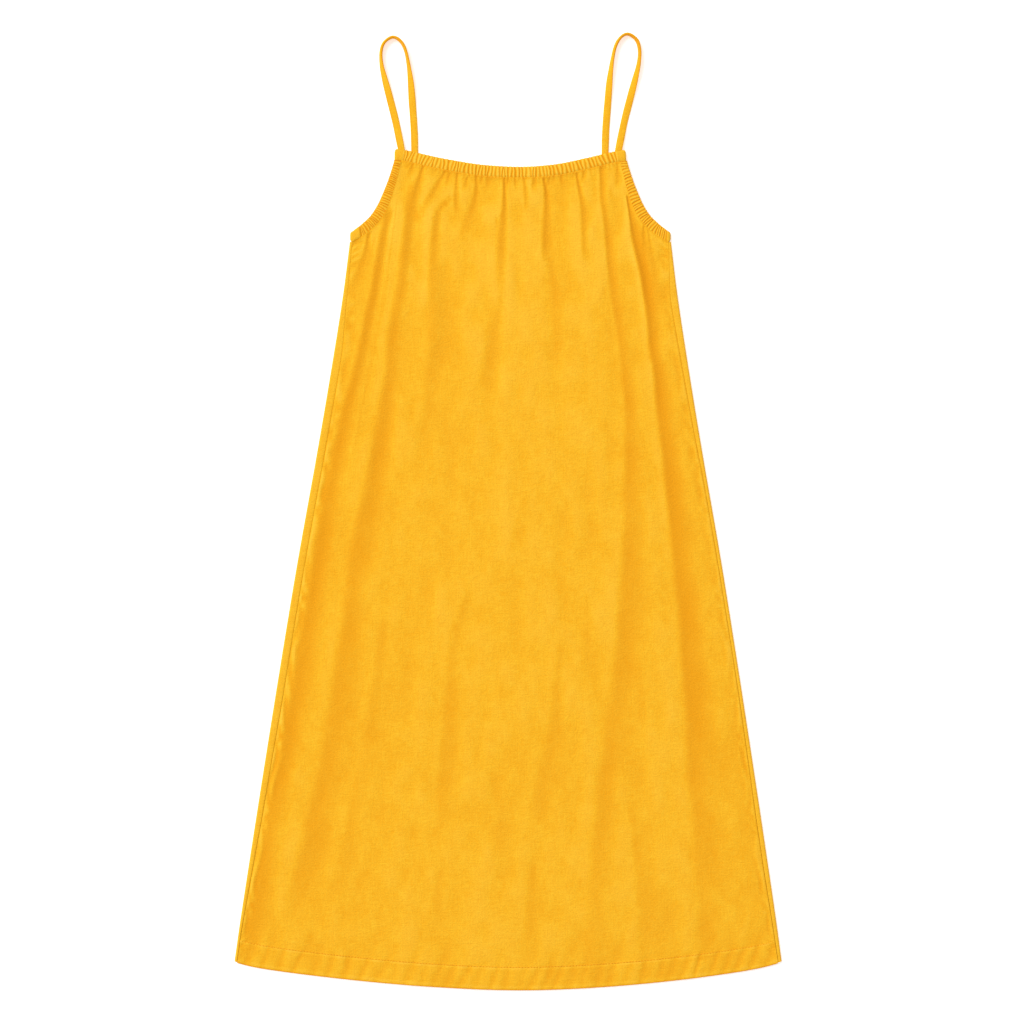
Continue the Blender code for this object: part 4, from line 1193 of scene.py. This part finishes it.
def make_casing_stitches():
    """Stitches where the front's neck casing meets the body, and the same on the back."""
    rows = []
    outs = np.linspace(-136 * MM, 136 * MM, 200)
    slopes = neck_slope(outs)
    size = np.sqrt(1 + slopes * slopes)
    for half, level in ((NECK_HALF_WIDTH, 4.75 * MM), (NECK_HALF_WIDTH - BACK_CASING_TUCK, 0.5 * MM)):
        reach = half + 0.3 * MM
        y = neck_height(outs)
        rows.append(np.column_stack([axis_at(y) + outs + reach * slopes / size, y - reach / size,
                                     np.full(200, level)]))
    piece = stitch_rows("casing_stitches", rows, (STITCH,))


def make_floor():
    bm = bmesh.new()
    bmesh.ops.create_grid(bm, x_segments=1, y_segments=1, size=FLOOR_HALF_SIZE)
    bmesh.ops.translate(bm, verts=bm.verts[:], vec=(0, 0, -FLOOR_DROP))
    mesh = bpy.data.meshes.new("table_top")
    bm.to_mesh(mesh)
    bm.free()
    paper = bpy.data.materials.new("white paper")
    paper.use_nodes = True
    shader = paper.node_tree.nodes["Principled BSDF"]
    shader.inputs["Base Color"].default_value = (0.94, 0.94, 0.94, 1.0)
    shader.inputs["Roughness"].default_value = 0.9
    shader.inputs["Specular IOR Level"].default_value = 0.1
    shader.inputs["Emission Color"].default_value = (1.0, 1.0, 1.0, 1.0)
    shader.inputs["Emission Strength"].default_value = 0.4  # a light table
    mesh.materials.append(paper)
    floor = bpy.data.objects.new("table_top", mesh)
    bpy.context.scene.collection.objects.link(floor)


def make_light():
    """A broad soft window at the upper left, and an even white surround."""
    window = bpy.data.lights.new("soft_window", "AREA")
    window.shape = "DISK"
    window.size = WINDOW_SIZE
    window.energy = WINDOW_POWER
    lamp = bpy.data.objects.new("soft_window", window)
    place = Vector(WINDOW_PLACE)
    lamp.location = place
    lamp.rotation_mode = "QUATERNION"
    lamp.rotation_quaternion = (-place).to_track_quat("-Z", "Y")
    lamp.visible_camera = False
    bpy.context.scene.collection.objects.link(lamp)
    world = bpy.data.worlds.new("white surround")
    world.use_nodes = True
    sky = world.node_tree.nodes["Background"]
    sky.inputs["Color"].default_value = (1.0, 1.0, 1.0, 1.0)
    sky.inputs["Strength"].default_value = SURROUND
    bpy.context.scene.world = world
    bpy.context.scene.view_settings.view_transform = "Standard"


def make_camera():
    """Straight above, so that the photograph's frame covers the same stretch of table."""
    data = bpy.data.cameras.new("overhead_camera")
    data.lens = 110
    data.sensor_width = 36
    camera = bpy.data.objects.new("overhead_camera", data)
    distance = VIEW_WIDTH * data.lens / data.sensor_width
    camera.location = (*VIEW_MIDDLE, distance + EDGE_HEIGHT)
    data.clip_end = 50
    bpy.context.scene.collection.objects.link(camera)
    bpy.context.scene.camera = camera


make_camera()
make_light()
make_floor()

FRONT_COTTON = marigold_cotton("front marigold cotton")
BACK_COTTON = marigold_cotton("back marigold cotton", 0.99)
CASING_COTTON = marigold_cotton("gathered marigold cotton", 0.98)
STRAP_COTTON = marigold_cotton("strap marigold cotton")
THREAD = marigold_cotton("marigold thread", 1.02)

back_cloth = make_back()
front_cloth = make_front()
back_tunnel = make_neck_casing("back_neck_tunnel", "back_neck_casing", BACK_NECK_GATHERS,
                               NECK_HALF_WIDTH - BACK_CASING_TUCK, 0.0, BACK_CASING_TOP, -1, BACK_RIB_SEED)
front_tunnel = make_neck_casing("front_neck_tunnel", "front_neck_casing", FRONT_NECK_GATHERS,
                                NECK_HALF_WIDTH, FRONT_CASING_UNDERSIDE, CASING_THICKNESS, 1, FRONT_RIB_SEED)
arm_left = make_armhole_casing(-1, "left")
arm_right = make_armhole_casing(1, "right")
strap_left = make_strap(-1, "left")
strap_right = make_strap(1, "right")
make_hem_stitches()
make_back_hem_stitches()
make_casing_stitches()
